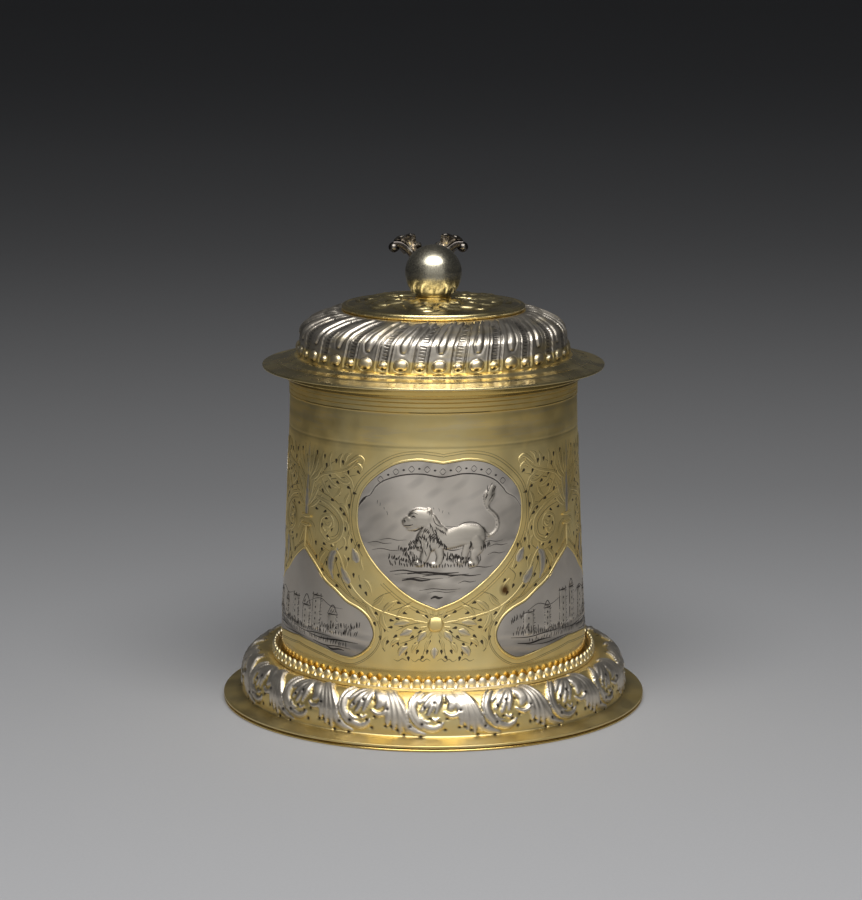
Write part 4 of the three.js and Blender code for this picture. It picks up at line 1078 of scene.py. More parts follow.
def lionLines():
    marks = ribbonMarks()
    # eye, nostril, mouth, brow and mane
    marks += [
        engraved([(-11.3, 88.0), (-10.6, 88.5), (-9.8, 88.0)], 0.5),
        engraved([(-11.9, 89.2), (-10.5, 89.8), (-9.0, 89.2)], 0.28),
        engraved([(-14.4, 86.9), (-13.9, 86.4), (-14.0, 85.8)], 0.5),
        engraved([(-14.2, 84.7), (-12.6, 84.6), (-10.6, 85.2)], 0.45),
        engraved([(-11.4, 82.4), (-9.4, 82.4), (-7.4, 83.8)], 0.34),
        engraved([(-4.9, 90.7), (-4.3, 89.9), (-4.6, 88.9)], 0.3),
        engraved([(-12.6, 90.0), (-9.4, 91.2), (-6.2, 90.8)], 0.24),
        engraved([(-3.2, 88.4), (-2.0, 85.6), (0.6, 84.0)], 0.3),
        engraved([(2.0, 84.3), (6.0, 84.0), (10.0, 85.6), (14.4, 85.2), (17.4, 82.6), (18.0, 79.0)],
                 0.3, 24),
        engraved([(1.4, 75.6), (5.0, 74.6), (8.8, 75.2)], 0.36),
        engraved([(12.0, 78.2), (12.4, 76.6), (11.6, 75.0)], 0.8, 10),
        engraved([(16.2, 72.8), (16.6, 70.4), (15.6, 69.2)], 0.3),
        engraved([(-8.9, 70.2), (-8.2, 69.6), (-9.4, 69.0)], 0.3),
    ]
    for start, end, slope, count in (((-4.2, 85.6), (-1.2, 80.4), -70, 9),
                                     ((-6.4, 82.0), (-3.0, 76.0), -96, 9),
                                     ((-8.2, 80.4), (-6.0, 74.6), -84, 8),
                                     ((-2.0, 83.2), (1.2, 77.4), -104, 9),
                                     ((-6.0, 80.6), (0.0, 79.6), -92, 7),
                                     ((-1.6, 84.6), (1.6, 82.0), -60, 5)):
        marks += hatch(start, end, 2.2, slope, count, count * 7 + int(slope), 0.34)
    marks += hatch((17.4, 94.0), (19.0, 98.4), 2.6, 74, 6, 5, 0.28)
    marks += hatch((19.0, 93.6), (21.4, 98.0), 2.4, 62, 6, 6, 0.28)
    # ground, grass and far hills
    for start, end, count in (((-16, 74.6), (-8.6, 71.0), 14), ((-9, 70.4), (-3, 67.6), 12),
                              ((2.4, 72.4), (9.4, 70.6), 18), ((3, 70.2), (12, 68.8), 16),
                              ((16.6, 74.4), (20.4, 75.4), 8), ((-14, 72.4), (-9, 69.4), 12)):
        marks += hatch(start, end, 1.9, 96, count, count + int(start[0]), 0.36)
    for z, left, right, width in ((76.8, -29, -19, 0.26), (74.2, -27, -15, 0.24), (78.4, -24, -13, 0.22),
                                  (75.6, 20, 28, 0.26), (77.2, 17, 26, 0.22), (72.4, 19.5, 27, 0.24),
                                  (67.2, 12, 22, 0.3), (66.0, -19, -4, 0.5), (65.0, -17, 3, 0.3),
                                  (64.2, 4, 17, 0.45), (62.6, -14, -3, 0.85), (63.2, -14, 2, 0.34),
                                  (61.6, 8, 15, 0.3), (65.4, -12, 8, 0.8), (64.6, -6, 12, 0.6),
                                  (58.8, -7, 9, 0.28), (57.8, -4, 7, 0.22), (55.6, -2.4, 2.2, 1.0)):
        marks.append(bank(z, left, right, width, (-0.3, 0.5, 0, 0.3), 18))
    # denser mane and grass
    for start, end, slope, count in (((-14, 73.8), (-8, 75.6), 70, 12),
                                     ((-12.4, 77.6), (-7, 80.8), -60, 12),
                                     ((-20, 70.8), (-10, 69.4), 80, 18),
                                     ((-19, 68.2), (14, 67.6), 100, 30), ((2, 71), (12, 70.4), 85, 14),
                                     ((-7, 84.6), (0.8, 78.4), -110, 14),
                                     ((-4, 81.4), (3.0, 76.4), -75, 14)):
        marks += hatch(start, end, 1.8, slope, count, count * 11 + int(slope), 0.46)
    marks += hatch((-26, 94), (-22, 90), 1.6, -80, 4, 21, 0.18)
    marks += hatch((-3, 92), (3, 90), 1.4, -86, 4, 22, 0.16)
    return marks


def townRelief(seed):
    def relief(u, v):
        ground = 0.14 * np.sin(v * 1.3 + 0.16 * u + seed) * np.clip((41 - v) / 4, 0, 1)
        forms = [stroke([(x, z), (x + 0.01, z + high)], (wide, wide), (0.5, 0.5), 4, flat=0.8)
                 for x, z, wide, high in townBlocks(seed)]
        lift, inside = strokeField(u, v, forms)
        uneven = 0.05 * wobble(u, v, 3, 30 + seed)
        shade = 0.04 + 0.12 * wobble(u, v, 5, 40 + seed) + 0.34 * np.clip((38 - v) / 6, 0, 1)
        shade = np.where(inside > 0.15, 0.02, shade)
        return lift * 0.7 + ground + uneven, shade, np.clip(inside * 4, 0, 0.5)
    return relief


def townBlocks(seed):
    random = np.random.default_rng(100 + seed)
    blocks = []
    for x in (-24, -15, -5, 4, 12, 21):
        wide = random.uniform(3.0, 5.4)
        high = random.uniform(2.5, 6.0) if abs(x) > 12 else random.uniform(4, 11)
        blocks.append((x + random.uniform(-2, 2), 40.0, wide, high))
    return blocks


def townLines(seed):
    # walls, roofs, windows, trees and banks
    marks = []
    for index, (x, z, wide, high) in enumerate(townBlocks(seed)):
        left, right, low, top = x - wide / 2, x + wide / 2, z - wide / 2, z + high + wide / 2 - 0.4
        marks += [engraved([(left, low), (left, top)], 0.3, 8),
                  engraved([(right, low), (right, top)], 0.3, 8),
                  engraved([(left - 0.6, top), (right + 0.6, top)], 0.34, 8)]
        if index % 2:
            marks += [engraved([(left - 0.6, top), (x, top + wide * 0.9), (right + 0.6, top)], 0.34, 12)]
            marks += hatch((left + 0.4, top + 0.4), (right - 0.8, top + 0.4), wide * 0.4, 60, 5,
                           index + seed)
        else:
            marks += [engraved([(left, top), (left + 0.1, top + 1.0)], 0.4, 6),
                      engraved([(x, top), (x, top + 1.0)], 0.4, 6),
                      engraved([(right, top), (right - 0.1, top + 1.0)], 0.4, 6)]
        for row in range(int((top - low) / 2.6)):
            marks.append(engraved([(x - 0.2, low + 1.6 + 2.4 * row), (x - 0.2, low + 2.6 + 2.4 * row)],
                                  0.6, 5))
        marks += hatch((right - 0.3, low), (right - 0.3, top), 1.3, 20, int(high) + 3, index * 3 + seed,
                       0.24)
    for start, end, count in (((-30, 40), (-20, 39), 12), ((-12, 38), (-2, 37), 12),
                              ((14, 39), (30, 41), 18), ((26, 38), (33, 42), 12),
                              ((-33, 43), (-28, 45), 9), ((-32, 38.4), (-4, 36.2), 26),
                              ((-2, 36.4), (32, 37.8), 30), ((-24, 34.8), (4, 34.2), 20),
                              ((8, 34.2), (28, 33), 16)):
        marks += hatch(start, end, 2.0, 88, count, count + seed, 0.36)
    for z, left, right, width in ((37.0, -33, -8, 0.4), (36.2, -4, 20, 0.32), (35.2, 6, 33, 0.5),
                                  (34.4, -30, -12, 0.6), (33.2, -26, 4, 0.3), (32.6, 10, 30, 0.4),
                                  (31.6, 18, 27, 0.7)):
        marks.append(bank(z, left, right, width, (0.5, -0.3, 0.2, 0), 20))
    marks += [engraved([(-26, 47), (-20, 49.5), (-13, 48), (-6, 50)], 0.24, 18),
              engraved([(7, 49), (13, 51), (19, 48.6), (25, 48.4)], 0.24, 18)]
    return marks


def layLines(name, turn, marks, relief):
    # the marks follow the heart's own relief
    def level(u, v):
        return (relief(u.ravel(), v.ravel())[0] + heart["lift"]).reshape(u.shape)

    return dress(strips(name, [(turn, mark) for mark in marks], level), heartSilver, "vessel")


def makeHearts():
    makeHeart("heartFront", 0, heartUp, heart["upCentre"], heart["upGrid"], lionRelief)
    layLines("heartFrontLines", 0, lionLines(), lionRelief)
    for index, turn in enumerate((60, 120, 180, 240, 300)):
        down = index % 2 == 0
        relief = townRelief(index) if down else upperRelief(index)
        outline, centre, size = ((heartDown, heart["downCentre"], heart["downGrid"]) if down else
                                 (heartUp, heart["upCentre"], heart["upGrid"]))
        makeHeart("heart" + str(turn), turn, outline, centre, size, relief)
        layLines("heartLines" + str(turn), turn, townLines(index) if down else upperLines(index), relief)


def upperRelief(seed):
    low = townRelief(seed)

    def relief(u, v):
        lift, shade, bright = low(u, v - 34)
        return lift + 0.14 * np.clip((v - ribbonFoot(u)) / 0.4, 0, 1), shade, bright
    return relief


def upperLines(seed):
    raised = [{**mark, "line": mark["line"] * (0.86, 1) + (0, 34)} for mark in townLines(seed)]
    return raised + ribbonMarks()[:-1]  # without the last lozenge's lower half


makeHearts()
print("hearts ready")


# Foot

foot = {
    "radius": 88,
    "wire": 1.0,
    "sheet": 1.2,
    "rise": 1.2,
    "gap": 0.3,
    "wallRadius": 80.1,
    "wallHeight": 8.0,
    "shoulderRadius": 72.6,
    "shoulderHeight": 19.9,
    "ledge": 18.3,
    "ledgeInner": 60,
    "galleryRadius": 67.5,
    "units": 17,
    "unitWidth": 28.8,  # mm of the drawing below
    "start": 9.1,  # degrees to the first unit
    "top": 5.2,  # mm past the shoulder where the drawing begins
    "columns": 58,  # vertices across one unit
    "drawn": (-0.5, 25.5),  # where the leaves lie, mm down the wall
    "hollow": (0.35, 12, 9),  # depth, middle and width of the dip they stand in
    "pit": (0.55, 0.55),  # depth and radius of the punched holes
}


def footOutline():
    flangeFoot = foot["wire"] + foot["gap"]
    flangeTop = flangeFoot + foot["sheet"]
    wallFoot = flangeTop + foot["rise"]
    wall = quarter(
        (foot["shoulderRadius"], foot["wallHeight"]),
        (foot["wallRadius"] - foot["shoulderRadius"], foot["shoulderHeight"] - foot["wallHeight"]),
        0, 90, 44,
    )
    flange = [(foot["radius"] - 0.5, flangeFoot), (foot["radius"] - 0.1, flangeFoot + 0.3)]
    flange += quarter((foot["radius"] - 0.4, flangeTop - 0.35), (0.4, 0.35), 0, 90, 4)
    flange += evenLine([(foot["radius"] - 0.9, flangeTop + 0.02),
                        (foot["wallRadius"] + 0.9, wallFoot - 0.05)], 1.2)
    flange += quarter((foot["wallRadius"] + 0.9, wallFoot + 0.85), (0.9, 0.9), 270, 180, 5)
    flange += evenLine([(foot["wallRadius"], wallFoot + 1.1),
                        (foot["wallRadius"], foot["wallHeight"] - 0.3)], 0.36)
    shoulder = smoothLine([wall[-1], (70.2, 19.4), (foot["galleryRadius"] - 0.4, foot["ledge"])], 13)[1:]
    ledge = [(foot["ledgeInner"], foot["ledge"]), (foot["ledgeInner"], foot["ledge"] - foot["sheet"])]
    under = [(foot["galleryRadius"], foot["ledge"] - foot["sheet"])]
    under += quarter(
        (foot["shoulderRadius"], foot["wallHeight"]),
        (foot["wallRadius"] - foot["shoulderRadius"] - foot["sheet"],
         foot["shoulderHeight"] - foot["wallHeight"] - foot["sheet"]),
        90, 0, 8,
    )
    under += [(foot["wallRadius"] - foot["sheet"], wallFoot - foot["sheet"]),
              (foot["radius"] - 2.6, flangeFoot)]
    return [*flange, *wall, *map(tuple, shoulder), *ledge, *under]


def footMarks():
    # one unit of scrolling acanthus, x to the right and y down the wall, in mm
    scroll = [(5.6, 6.6), (3.4, 9.4), (1.9, 12.6), (2.3, 16.2), (4.4, 19.2), (7.0, 21.2), (9.8, 22.0),
              (12.2, 21.2), (13.7, 19.4)]
    marks = [
        # C scroll with its ridge, and the stem that comes in from the leaf before it
        stroke(scroll, (1.8, 3.0, 3.4, 3.4, 3.2, 3.0, 2.8, 2.2, 1.0),
               (0.6, 0.8, 0.9, 0.9, 0.85, 0.8, 0.75, 0.6, 0.4), 34, flutes=2),
        stroke([(4.6, 5.6), (2.1, 8.3), (0.5, 12.1), (0.9, 16.2), (3.0, 19.8), (5.6, 22.2)],
               (0.5, 0.8, 0.8, 0.7, 0.4), (0.9, 1.2, 1.2, 1.1, 0.7), 26),
        stroke([(-7.0, 5.0), (-5.0, 10.4), (-2.9, 15.6), (-0.6, 20.0), (2.6, 22.9), (6.4, 24.1)],
               (1.8, 3.2, 3.6, 3.6, 3.0, 1.4), (0.7, 0.9, 0.95, 0.9, 0.7, 0.4), 28, flutes=2),
        # palmette inside the scroll
        stroke([(12.6, 6.6), (8.6, 7.6), (4.8, 11.2)], (3.2, 3.4, 1.4), (0.8, 1.0, 0.5), 14, flutes=2),
        stroke([(12.6, 6.8), (9.0, 9.8), (5.6, 14.6)], (2.8, 3.4, 1.4), (0.8, 1.05, 0.5), 14, flutes=2),
        stroke([(12.8, 7.0), (10.4, 11.4), (8.0, 16.2)], (2.6, 3.2, 1.3), (0.8, 1.05, 0.5), 14,
               flutes=2),
        stroke([(13.2, 7.2), (12.2, 11.6), (11.0, 15.6)], (2.4, 2.8, 1.2), (0.8, 1.0, 0.5), 12),
        stroke([(5.0, 16.6), (6.4, 18.6), (8.6, 19.4)], (0.5, 1.0, 0.5), (0.4, 0.6, 0.4), 10),
        stroke([(9.6, 17.6), (10.8, 18.6), (12.2, 17.6)], (0.6, 1.3, 0.6), (0.4, 0.7, 0.4), 10),
        # small volute
        stroke([(14.4, 6.6), (16.6, 8.6), (17.8, 11.6), (16.6, 13.8)], (2.6, 4.6, 4.4, 1.8),
               (0.8, 1.2, 1.1, 0.6), 18, flutes=1),
        stroke([(14.4, 15.4), (17.0, 16.8), (19.8, 15.8), (21.4, 12.6), (20.2, 9.0)],
               (0.9, 1.9, 2.0, 1.9, 0.9), (0.5, 0.8, 0.9, 0.8, 0.5), 24),
        # large leaf with four lobes
        stroke([(18.2, 6.4), (20.4, 11.6), (21.2, 16.4), (20.8, 20.6)], (2.0, 3.4, 3.4, 1.2),
               (0.7, 0.9, 0.9, 0.4), 18, flutes=2),
        stroke([(19.0, 6.0), (22.2, 11.4), (23.4, 16.8), (23.3, 22.4)], (2.0, 3.6, 3.6, 1.2),
               (0.8, 1.0, 0.95, 0.4), 18, flutes=2),
        stroke([(19.4, 5.6), (23.6, 11.0), (25.6, 17.0), (25.9, 23.6)], (2.0, 3.8, 3.8, 1.3),
               (0.8, 1.05, 1.0, 0.4), 18, flutes=2),
        stroke([(19.6, 5.2), (24.8, 10.8), (27.6, 16.6), (28.6, 22.6)], (1.8, 3.4, 3.6, 1.4),
               (0.8, 1.0, 0.95, 0.4), 18, flutes=2),
        stroke([(18.6, 4.0), (22.8, 7.6), (26.2, 12.2), (28.6, 16.8), (30.0, 20.6)],
               (0.5, 0.8, 0.8, 0.7, 0.4), (0.9, 1.25, 1.25, 1.1, 0.6), 24),
    ]
    pits = [(8.4, 5.0), (10.4, 11.8), (8.6, 17.9), (5.6, 19.9), (12.3, 19.4), (4.9, 24.9), (14.8, 11.4),
            (20.6, 14.6), (15.4, 18.0), (20.0, 21.4), (22.2, 21.2), (24.7, 22.6), (27.2, 24.4),
            (29.8, 20.9), (14.5, 22.4), (6.6, 13.6)]
    return marks, pits


def makeFoot():
    outline = footOutline()
    piece = spun("footSkirt", outline, foot["units"] * foot["columns"], 60)
    rows = np.array(outline)
    along = lengthAlong(rows)
    top = along[int(np.argmax(rows[:, 1] > foot["shoulderHeight"] - 1e-6))] + foot["top"]
    marks, pits = footMarks()
    pitch = 2 * math.pi / foot["units"]
    unitWidth = foot["unitWidth"]
    marks = [movedStroke(mark, (shift, 0)) for shift in (0, unitWidth, -unitWidth) for mark in marks]
    pits = [(x + shift, y) for shift in (0, unitWidth, -unitWidth) for x, y in pits]

    def relief(angle, along, radius, height):
        turn = (angle + math.radians(foot["start"]) + 4 * math.pi) % (2 * math.pi)
        unit = np.floor(turn / pitch)
        u = (turn / pitch - unit) * unitWidth
        v = top - along
        u = u + 0.35 * wobble(v, unit * 9.0, 5, 5)
        v = v + 0.3 * wobble(u, unit * 7.0, 6, 6)
        band = (v > foot["drawn"][0]) & (v < foot["drawn"][1])
        lift, inside = np.zeros(len(u)), np.zeros(len(u))
        lift[band], inside[band] = strokeField(u[band], v[band], marks)
        ungilt = np.clip(inside * 9, 0, 1)
        tarnish = 0.55 * np.clip(1 - inside * 7, 0, 1) * (inside > 0)
        depth, level, width = foot["hollow"]
        hollow = -depth * np.exp(-((v - level) / width) ** 2) * band
        lift = np.where(inside > 0, np.maximum(lift, 0.1) + hollow * 0.3, hollow)
        for x, y in pits:
            distance = np.hypot(u - x, v - y)
            mark = np.exp(-(distance / foot["pit"][1]) ** 2)
            lift = lift - foot["pit"][0] * mark
            tarnish = np.maximum(tarnish, np.clip(mark * 1.6, 0, 1))
        # painted shade on the flange, darkest in a band beside the foot's wall
        flange = (radius > 80.3) * (0.11 + 0.25 * np.exp(-((radius - 81) / 1.5) ** 2))
        return lift, {"ungilt": ungilt, "tarnish": np.maximum(tarnish, flange)}

    carve(piece, outline, relief)
    return dress(piece, footMetal, "vessel", "foot_skirt")


makeFoot()
print("foot ready")


# Rim wire under the foot, gallery of lobes and the drum's bottom

gallery = {
    "lobes": 95,
    "radius": 67.5,
    "inner": 65.3,
    "bottom": 18.6,
    "strip": 1.5,
    "lobeSize": (3.9, 2.2, 4.5),  # across, out and up
    "lobeMiddle": 21.3,
    "dart": (1.2, 2.5),  # radius and height of the small cones between the lobes
}


def makeWire():
    outer, width, height = foot["radius"], 2.6, foot["wire"]
    outline = [(outer - width, 0.15), (outer - width + 0.15, 0), (outer - 0.55, 0)]
    outline += quarter((outer - 0.55, height / 2), (0.5, height / 2), -80, 80, 8)
    outline += [(outer - 0.55, height), (outer - width, height)]
    return dress(spun("footWire", outline, 240), brightGilt, "vessel", "foot_edge_wire")


def asPiece(name):
    # the primitive just added takes a name, and its place goes into its mesh
    piece = bpy.context.object
    piece.name = name
    bpy.ops.object.transform_apply(location=True, rotation=True, scale=True)
    return piece


def joined(name, pieces):
    deselect()
    for piece in pieces:
        piece.select_set(True)
    bpy.context.view_layer.objects.active = pieces[0]
    bpy.ops.object.join()
    pieces[0].name = name
    return pieces[0]


def makeGallery():
    top = gallery["bottom"] + gallery["strip"]
    outline = [(gallery["inner"], gallery["bottom"]), (gallery["radius"] - 0.15, gallery["bottom"])]
    outline += [(gallery["radius"], gallery["bottom"] + 0.15), (gallery["radius"], top - 0.25)]
    outline += quarter((gallery["radius"] - 0.25, top - 0.25), (0.25, 0.25), 0, 90, 3)
    outline += [(gallery["radius"] - 1.0, top), (gallery["radius"] - 1.3, top + 1.6),
                (gallery["inner"], top + 1.6)]
    ring = spun("galleryRing", outline, 190)
    middle = gallery["radius"] - gallery["lobeSize"][1] / 2
    deselect()
    bpy.ops.mesh.primitive_uv_sphere_add(
        segments=16, ring_count=12, radius=0.5 * mm,
        location=(0, axisY - middle * mm, gallery["lobeMiddle"] * mm))
    bpy.ops.transform.resize(value=gallery["lobeSize"])
    lobe = asPiece("galleryLobes")
    places = readPlaces(lobe)
    rise = (places[:, 2] - gallery["lobeMiddle"]) / gallery["lobeSize"][2]
    places[:, 0] *= np.where(rise < 0, 1 + 0.7 * rise, 1 - 0.15 * rise)  # pointed below, full above
    writePlaces(lobe, places)
    ringOfCopies(lobe, gallery["lobes"])
    deselect()
    size, height = gallery["dart"]
    bpy.ops.mesh.primitive_cone_add(
        vertices=10, radius1=size * mm, depth=height * mm,
        location=(0, axisY - (middle + 0.3) * mm, (top + height / 2 - 0.1) * mm))
    dart = asPiece("galleryDarts")
    places = readPlaces(dart)
    half = math.pi / gallery["lobes"]
    x, y = places[:, 0].copy(), places[:, 1].copy()
    places[:, 0] = x * math.cos(half) - y * math.sin(half)
    places[:, 1] = x * math.sin(half) + y * math.cos(half)
    writePlaces(dart, places)
    ringOfCopies(dart, gallery["lobes"])
    for piece in (lobe, dart):
        deselect()
        piece.select_set(True)
        bpy.context.view_layer.objects.active = piece
        bpy.ops.object.shade_smooth_by_angle(angle=math.radians(50))
    return dress(joined("gallery", [ring, lobe, dart]), galleryGilt, "vessel", "gallery_ring")


def makeDrumBottom():
    low, sheet, dish = 24, 1.4, 1.2
    rim = float(drumRadius(low)) - drum["sheet"] - 0.3
    under = smoothLine([(0, low + dish), (rim * 0.35, low + dish * 0.75), (rim * 0.7, low),
                        (rim - 0.4, low)], 14)
    over = smoothLine([(rim - 0.4, low + sheet), (rim * 0.7, low + sheet),
                       (rim * 0.35, low + sheet + dish * 0.75), (0, low + sheet + dish)], 14)
    outline = [*map(tuple, under), (rim, low + 0.3), (rim, low + sheet - 0.3), *map(tuple, over)]
    return dress(spun("drumBottom", outline, 120), plainSilver, "vessel", "drum_base")


makeWire()
makeGallery()
makeDrumBottom()
print("gallery ready")


# Lid

lid = {
    "brim": 70.4,
    "brimUnder": 139.5,
    "brimEdge": 1.1,
    "foot": (55.8, 144.2),  # where the brim meets the gadroons
    "step": [(57.2, 144.05), (58.3, 143.75), (59.2, 143.25), (59.9, 142.65), (60.6, 142.4)],
    "units": 23,
    "columns": 39,
    "swirl": 0.2,  # radians, reached in these shares at these heights
    "swirlHeights": (144.2, 149, 155, 158, 160.8, 162.3),
    "swirlShares": (0, 0.05, 0.15, 0.3, 0.6, 1),
    "phase": -5.04,  # degrees to the first border
    "wideShare": 0.65,  # of one unit
    "lobeHeight": 0.5,
    "plateau": 37.7,
    "plateauSeat": 162.3,
    "plateauTop": 167.2,
    "plateauUnits": (8, 22.0),  # leaf groups, and the radius where their width is true
    "dark": (0.8, 0.85, 0.62),  # tarnish of the lobes' edges, of the dashes and of the grooves
    "budRadius": 55.5,
    "buds": (((2.9, 2.45), 1.35, 2.9),  # size, height and place of a wide lobe's bud
             ((1.75, 1.5), 0.95, 2.5)),  # and of a narrow one's
    "hole": 2.3,
    "sheet": 1.2,
}


def lidOutline():
    brim, under, top = lid["brim"], lid["brimUnder"], lid["brimUnder"] + lid["brimEdge"]
    edge = [(brim - 0.3, under), *quarter((brim - 0.35, under + 0.35), (0.35, 0.35), -60, 0, 3)]
    edge += quarter((brim - 0.35, top - 0.35), (0.35, 0.35), 0, 90, 4)
    flat = evenLine([(brim - 0.9, top + 0.12), (66.4, 141.3), (64.6, 141.75)], 0.9)
    flat += [(64.3, 141.98), (63.95, 142.05), (63.6, 141.98), (63.3, 141.85), (62.0, 142.15),
             (61.2, 142.3)]
    slope = [*flat, *reversed(lid["step"]), lid["foot"]]
    wall = [lid["foot"], (55.6, 145.4), (55.3, 147.4), (54.8, 149.8), (54.5, 152.6), (53.9, 155.2),
            (51.9, 157.4), (48.9, 159.1), (45.4, 160.6), (41.6, 161.8),
            (lid["plateau"], lid["plateauSeat"])]
    wall = smoothLine(wall, 72)
    outer = [*edge, *slope[:-1], *map(tuple, wall)]
    hole, sheet, seat = lid["hole"], lid["sheet"], lid["plateauSeat"]
    inner = [(hole, seat), (hole, seat - sheet), (lid["plateau"], seat - sheet - 0.2), (44.6, 158.9),
             (51.4, 155.2), (52.6, 151.5), (53.3, 143.2), (60.4, 140.9), (brim - 0.9, under)]
    return outer + inner, len(edge) + len(slope) - 1, len(edge) + len(slope) - 1 + len(wall)


def makeLidShell():
    outline, first, last = lidOutline()
    piece = spun("lidShell", outline, lid["units"] * lid["columns"], 60)
    reach = lengthAlong(np.array(outline))
    start, end = reach[first], reach[last - 1]

    def relief(angle, along, radius, height):
        t = (along - start) / (end - start)
        chased = (t > -0.03) & (t < 1)
        spin = lid["swirl"] * np.interp(height, lid["swirlHeights"], lid["swirlShares"])
        count = lid["units"] * (angle - spin - math.radians(lid["phase"])) / (2 * math.pi)
        unit = np.floor(count)
        w = count - unit
        wide = lid["wideShare"]
        x = (w - wide / 2) / (wide / 2)
        narrow = (w - (1 + wide) / 2) / ((1 - wide) / 2)
        isWide = w < wide
        rise = np.clip(t / 0.06, 0, 1) * np.clip((1 - t) / 0.12, 0, 1)
        climb = along - start
        panel = lid["lobeHeight"] * np.clip(1 - np.abs(x) ** 3, 0, 1) ** 0.6 - 0.15
        begin = 0.27
        drop = np.interp(t, [begin, 0.36, 0.6, 1], [0.16, 0.33, 0.24, 0.12]) * (t > begin)
        within = np.clip(1 - (x / (drop + 1e-3)) ** 2, 0, 1) * (t > begin)
        groove = np.exp(-((np.abs(x) - drop - 0.1) / 0.085) ** 2) * (t > begin - 0.02)
        groove = np.maximum(groove, np.exp(-(x / 0.28) ** 2 - ((t - begin + 0.01) / 0.022) ** 2))
        panel = panel + 0.5 * np.sqrt(within) - 0.42 * groove
        band = -0.42 + 0.16 * np.sqrt(np.clip(1 - narrow ** 2, 0, 1))
        dash = (np.abs(narrow) < 0.4) & (t > 0.17) & (t < 0.84)
        dash = dash * np.clip(np.cos(2 * math.pi * climb / 1.3 + 1.2 * narrow) * 1.8 - 0.5, 0, 1)
        band = band - 0.28 * dash
        border = np.minimum(np.minimum(w, 1 - w), np.abs(w - wide))
        edge = np.exp(-(border / 0.018) ** 2)
        fillet = np.exp(-((border - 0.048) / 0.02) ** 2)
        lift = np.where(isWide, panel, band) * rise + (0.3 * fillet - 0.42 * edge) * rise
        edgeDark, dashDark, grooveDark = lid["dark"]
        tarnish = np.maximum(edgeDark * edge, dashDark * dash) * rise
        tarnish = np.maximum(tarnish, grooveDark * groove * isWide * rise)
        tarnish = np.maximum(tarnish, 0.3 * (~isWide) * rise * (1 - fillet))
        tarnish = np.maximum(tarnish, np.clip((t - 0.66) / 0.34, 0, 1) * 0.3)
        ungilt = np.clip((t - 0.13) / 0.05, 0, 1) * (0.8 + 0.2 * wobble(angle * 50, height, 4, 15))
        # the gilt buds at the foot of the lobes, each with a hole under it
        arc = 2 * math.pi * lid["budRadius"] / lid["units"]  # mm for one unit
        for middle, (size, tall, level) in zip((wide / 2, (1 + wide) / 2), lid["buds"]):
            across = ((w - middle + 0.5) % 1 - 0.5) * arc
            distance = (across / size[0]) ** 2 + ((climb - level) / size[1]) ** 2
            bud = np.sqrt(np.clip(1 - distance, 0, 1))
            lift = np.where(bud > 0, np.maximum(lift, tall * bud + 0.1), lift)
            rim = np.exp(-((np.sqrt(distance) - 1.02) / 0.1) ** 2)
            lift = lift - 0.35 * rim * chased
            tarnish = np.where(bud > 0, 0.0, np.maximum(tarnish, 0.6 * rim))
            ungilt = np.where(distance < 1.1, 0.42, ungilt)
            hole = np.exp(-((across / (0.42 * size[0])) ** 2
                            + ((climb - level + size[1] * 0.72) / 0.62) ** 2) ** 2)
            lift = lift - 0.9 * hole
            tarnish = np.maximum(tarnish, hole)
        masks = {"ungilt": np.where(chased, ungilt, 0), "tarnish": np.where(chased, tarnish, 0)}
        return np.where(chased, lift, 0), masks

    carve(piece, outline, relief)
    dress(piece, lidMetal, "lid", "lid_shell")
    addFinish(piece, brimMetal, lambda radius, height: radius > 57.0 and height > 139.7)
    return piece


def plateauMarks():
    # one unit of leaves, x round the cap and y outwards, in mm
    return [
        stroke([(0, 9), (1.4, 15), (4.6, 20.5), (9.5, 23.6), (13, 22)], (2.0, 4.6, 5.0, 3.6, 1.4),
               (0.5, 1.0, 1.2, 1.0, 0.5), 26, flutes=2),
        stroke([(1.2, 14), (-1.6, 18.4), (-3.4, 23), (-2.4, 27.6)], (2.2, 4.4, 4.4, 1.6),
               (0.5, 1.1, 1.1, 0.5), flutes=2),
        stroke([(3.4, 18.6), (3.0, 23), (4.4, 27), (7.6, 29.4)], (2.2, 3.8, 3.8, 1.4),
               (0.5, 1.1, 1.1, 0.5), flutes=2),
        stroke([(8.0, 22.8), (9.6, 25.8), (12.4, 27.8), (15.2, 26.8), (15.4, 24.2)],
               (1.8, 2.6, 2.6, 2.2, 1.2), (0.5, 1.0, 1.0, 1.0, 0.6)),
        stroke([(9.4, 15.2), (12.2, 17.2), (13.4, 14.6), (11.6, 12.6)], (1.6, 2.8, 2.4, 1.2),
               (0.5, 1.0, 0.9, 0.5)),
        stroke([(5.0, 12), (6.6, 14.6), (6.2, 17.2)], (1.2, 2.8, 1.2), (0.4, 0.9, 0.4)),
        stroke([(-5.6, 30.4), (-2.8, 31.6), (0.6, 30.6)], (1.0, 2.0, 1.0), (0.4, 0.8, 0.4)),
    ]


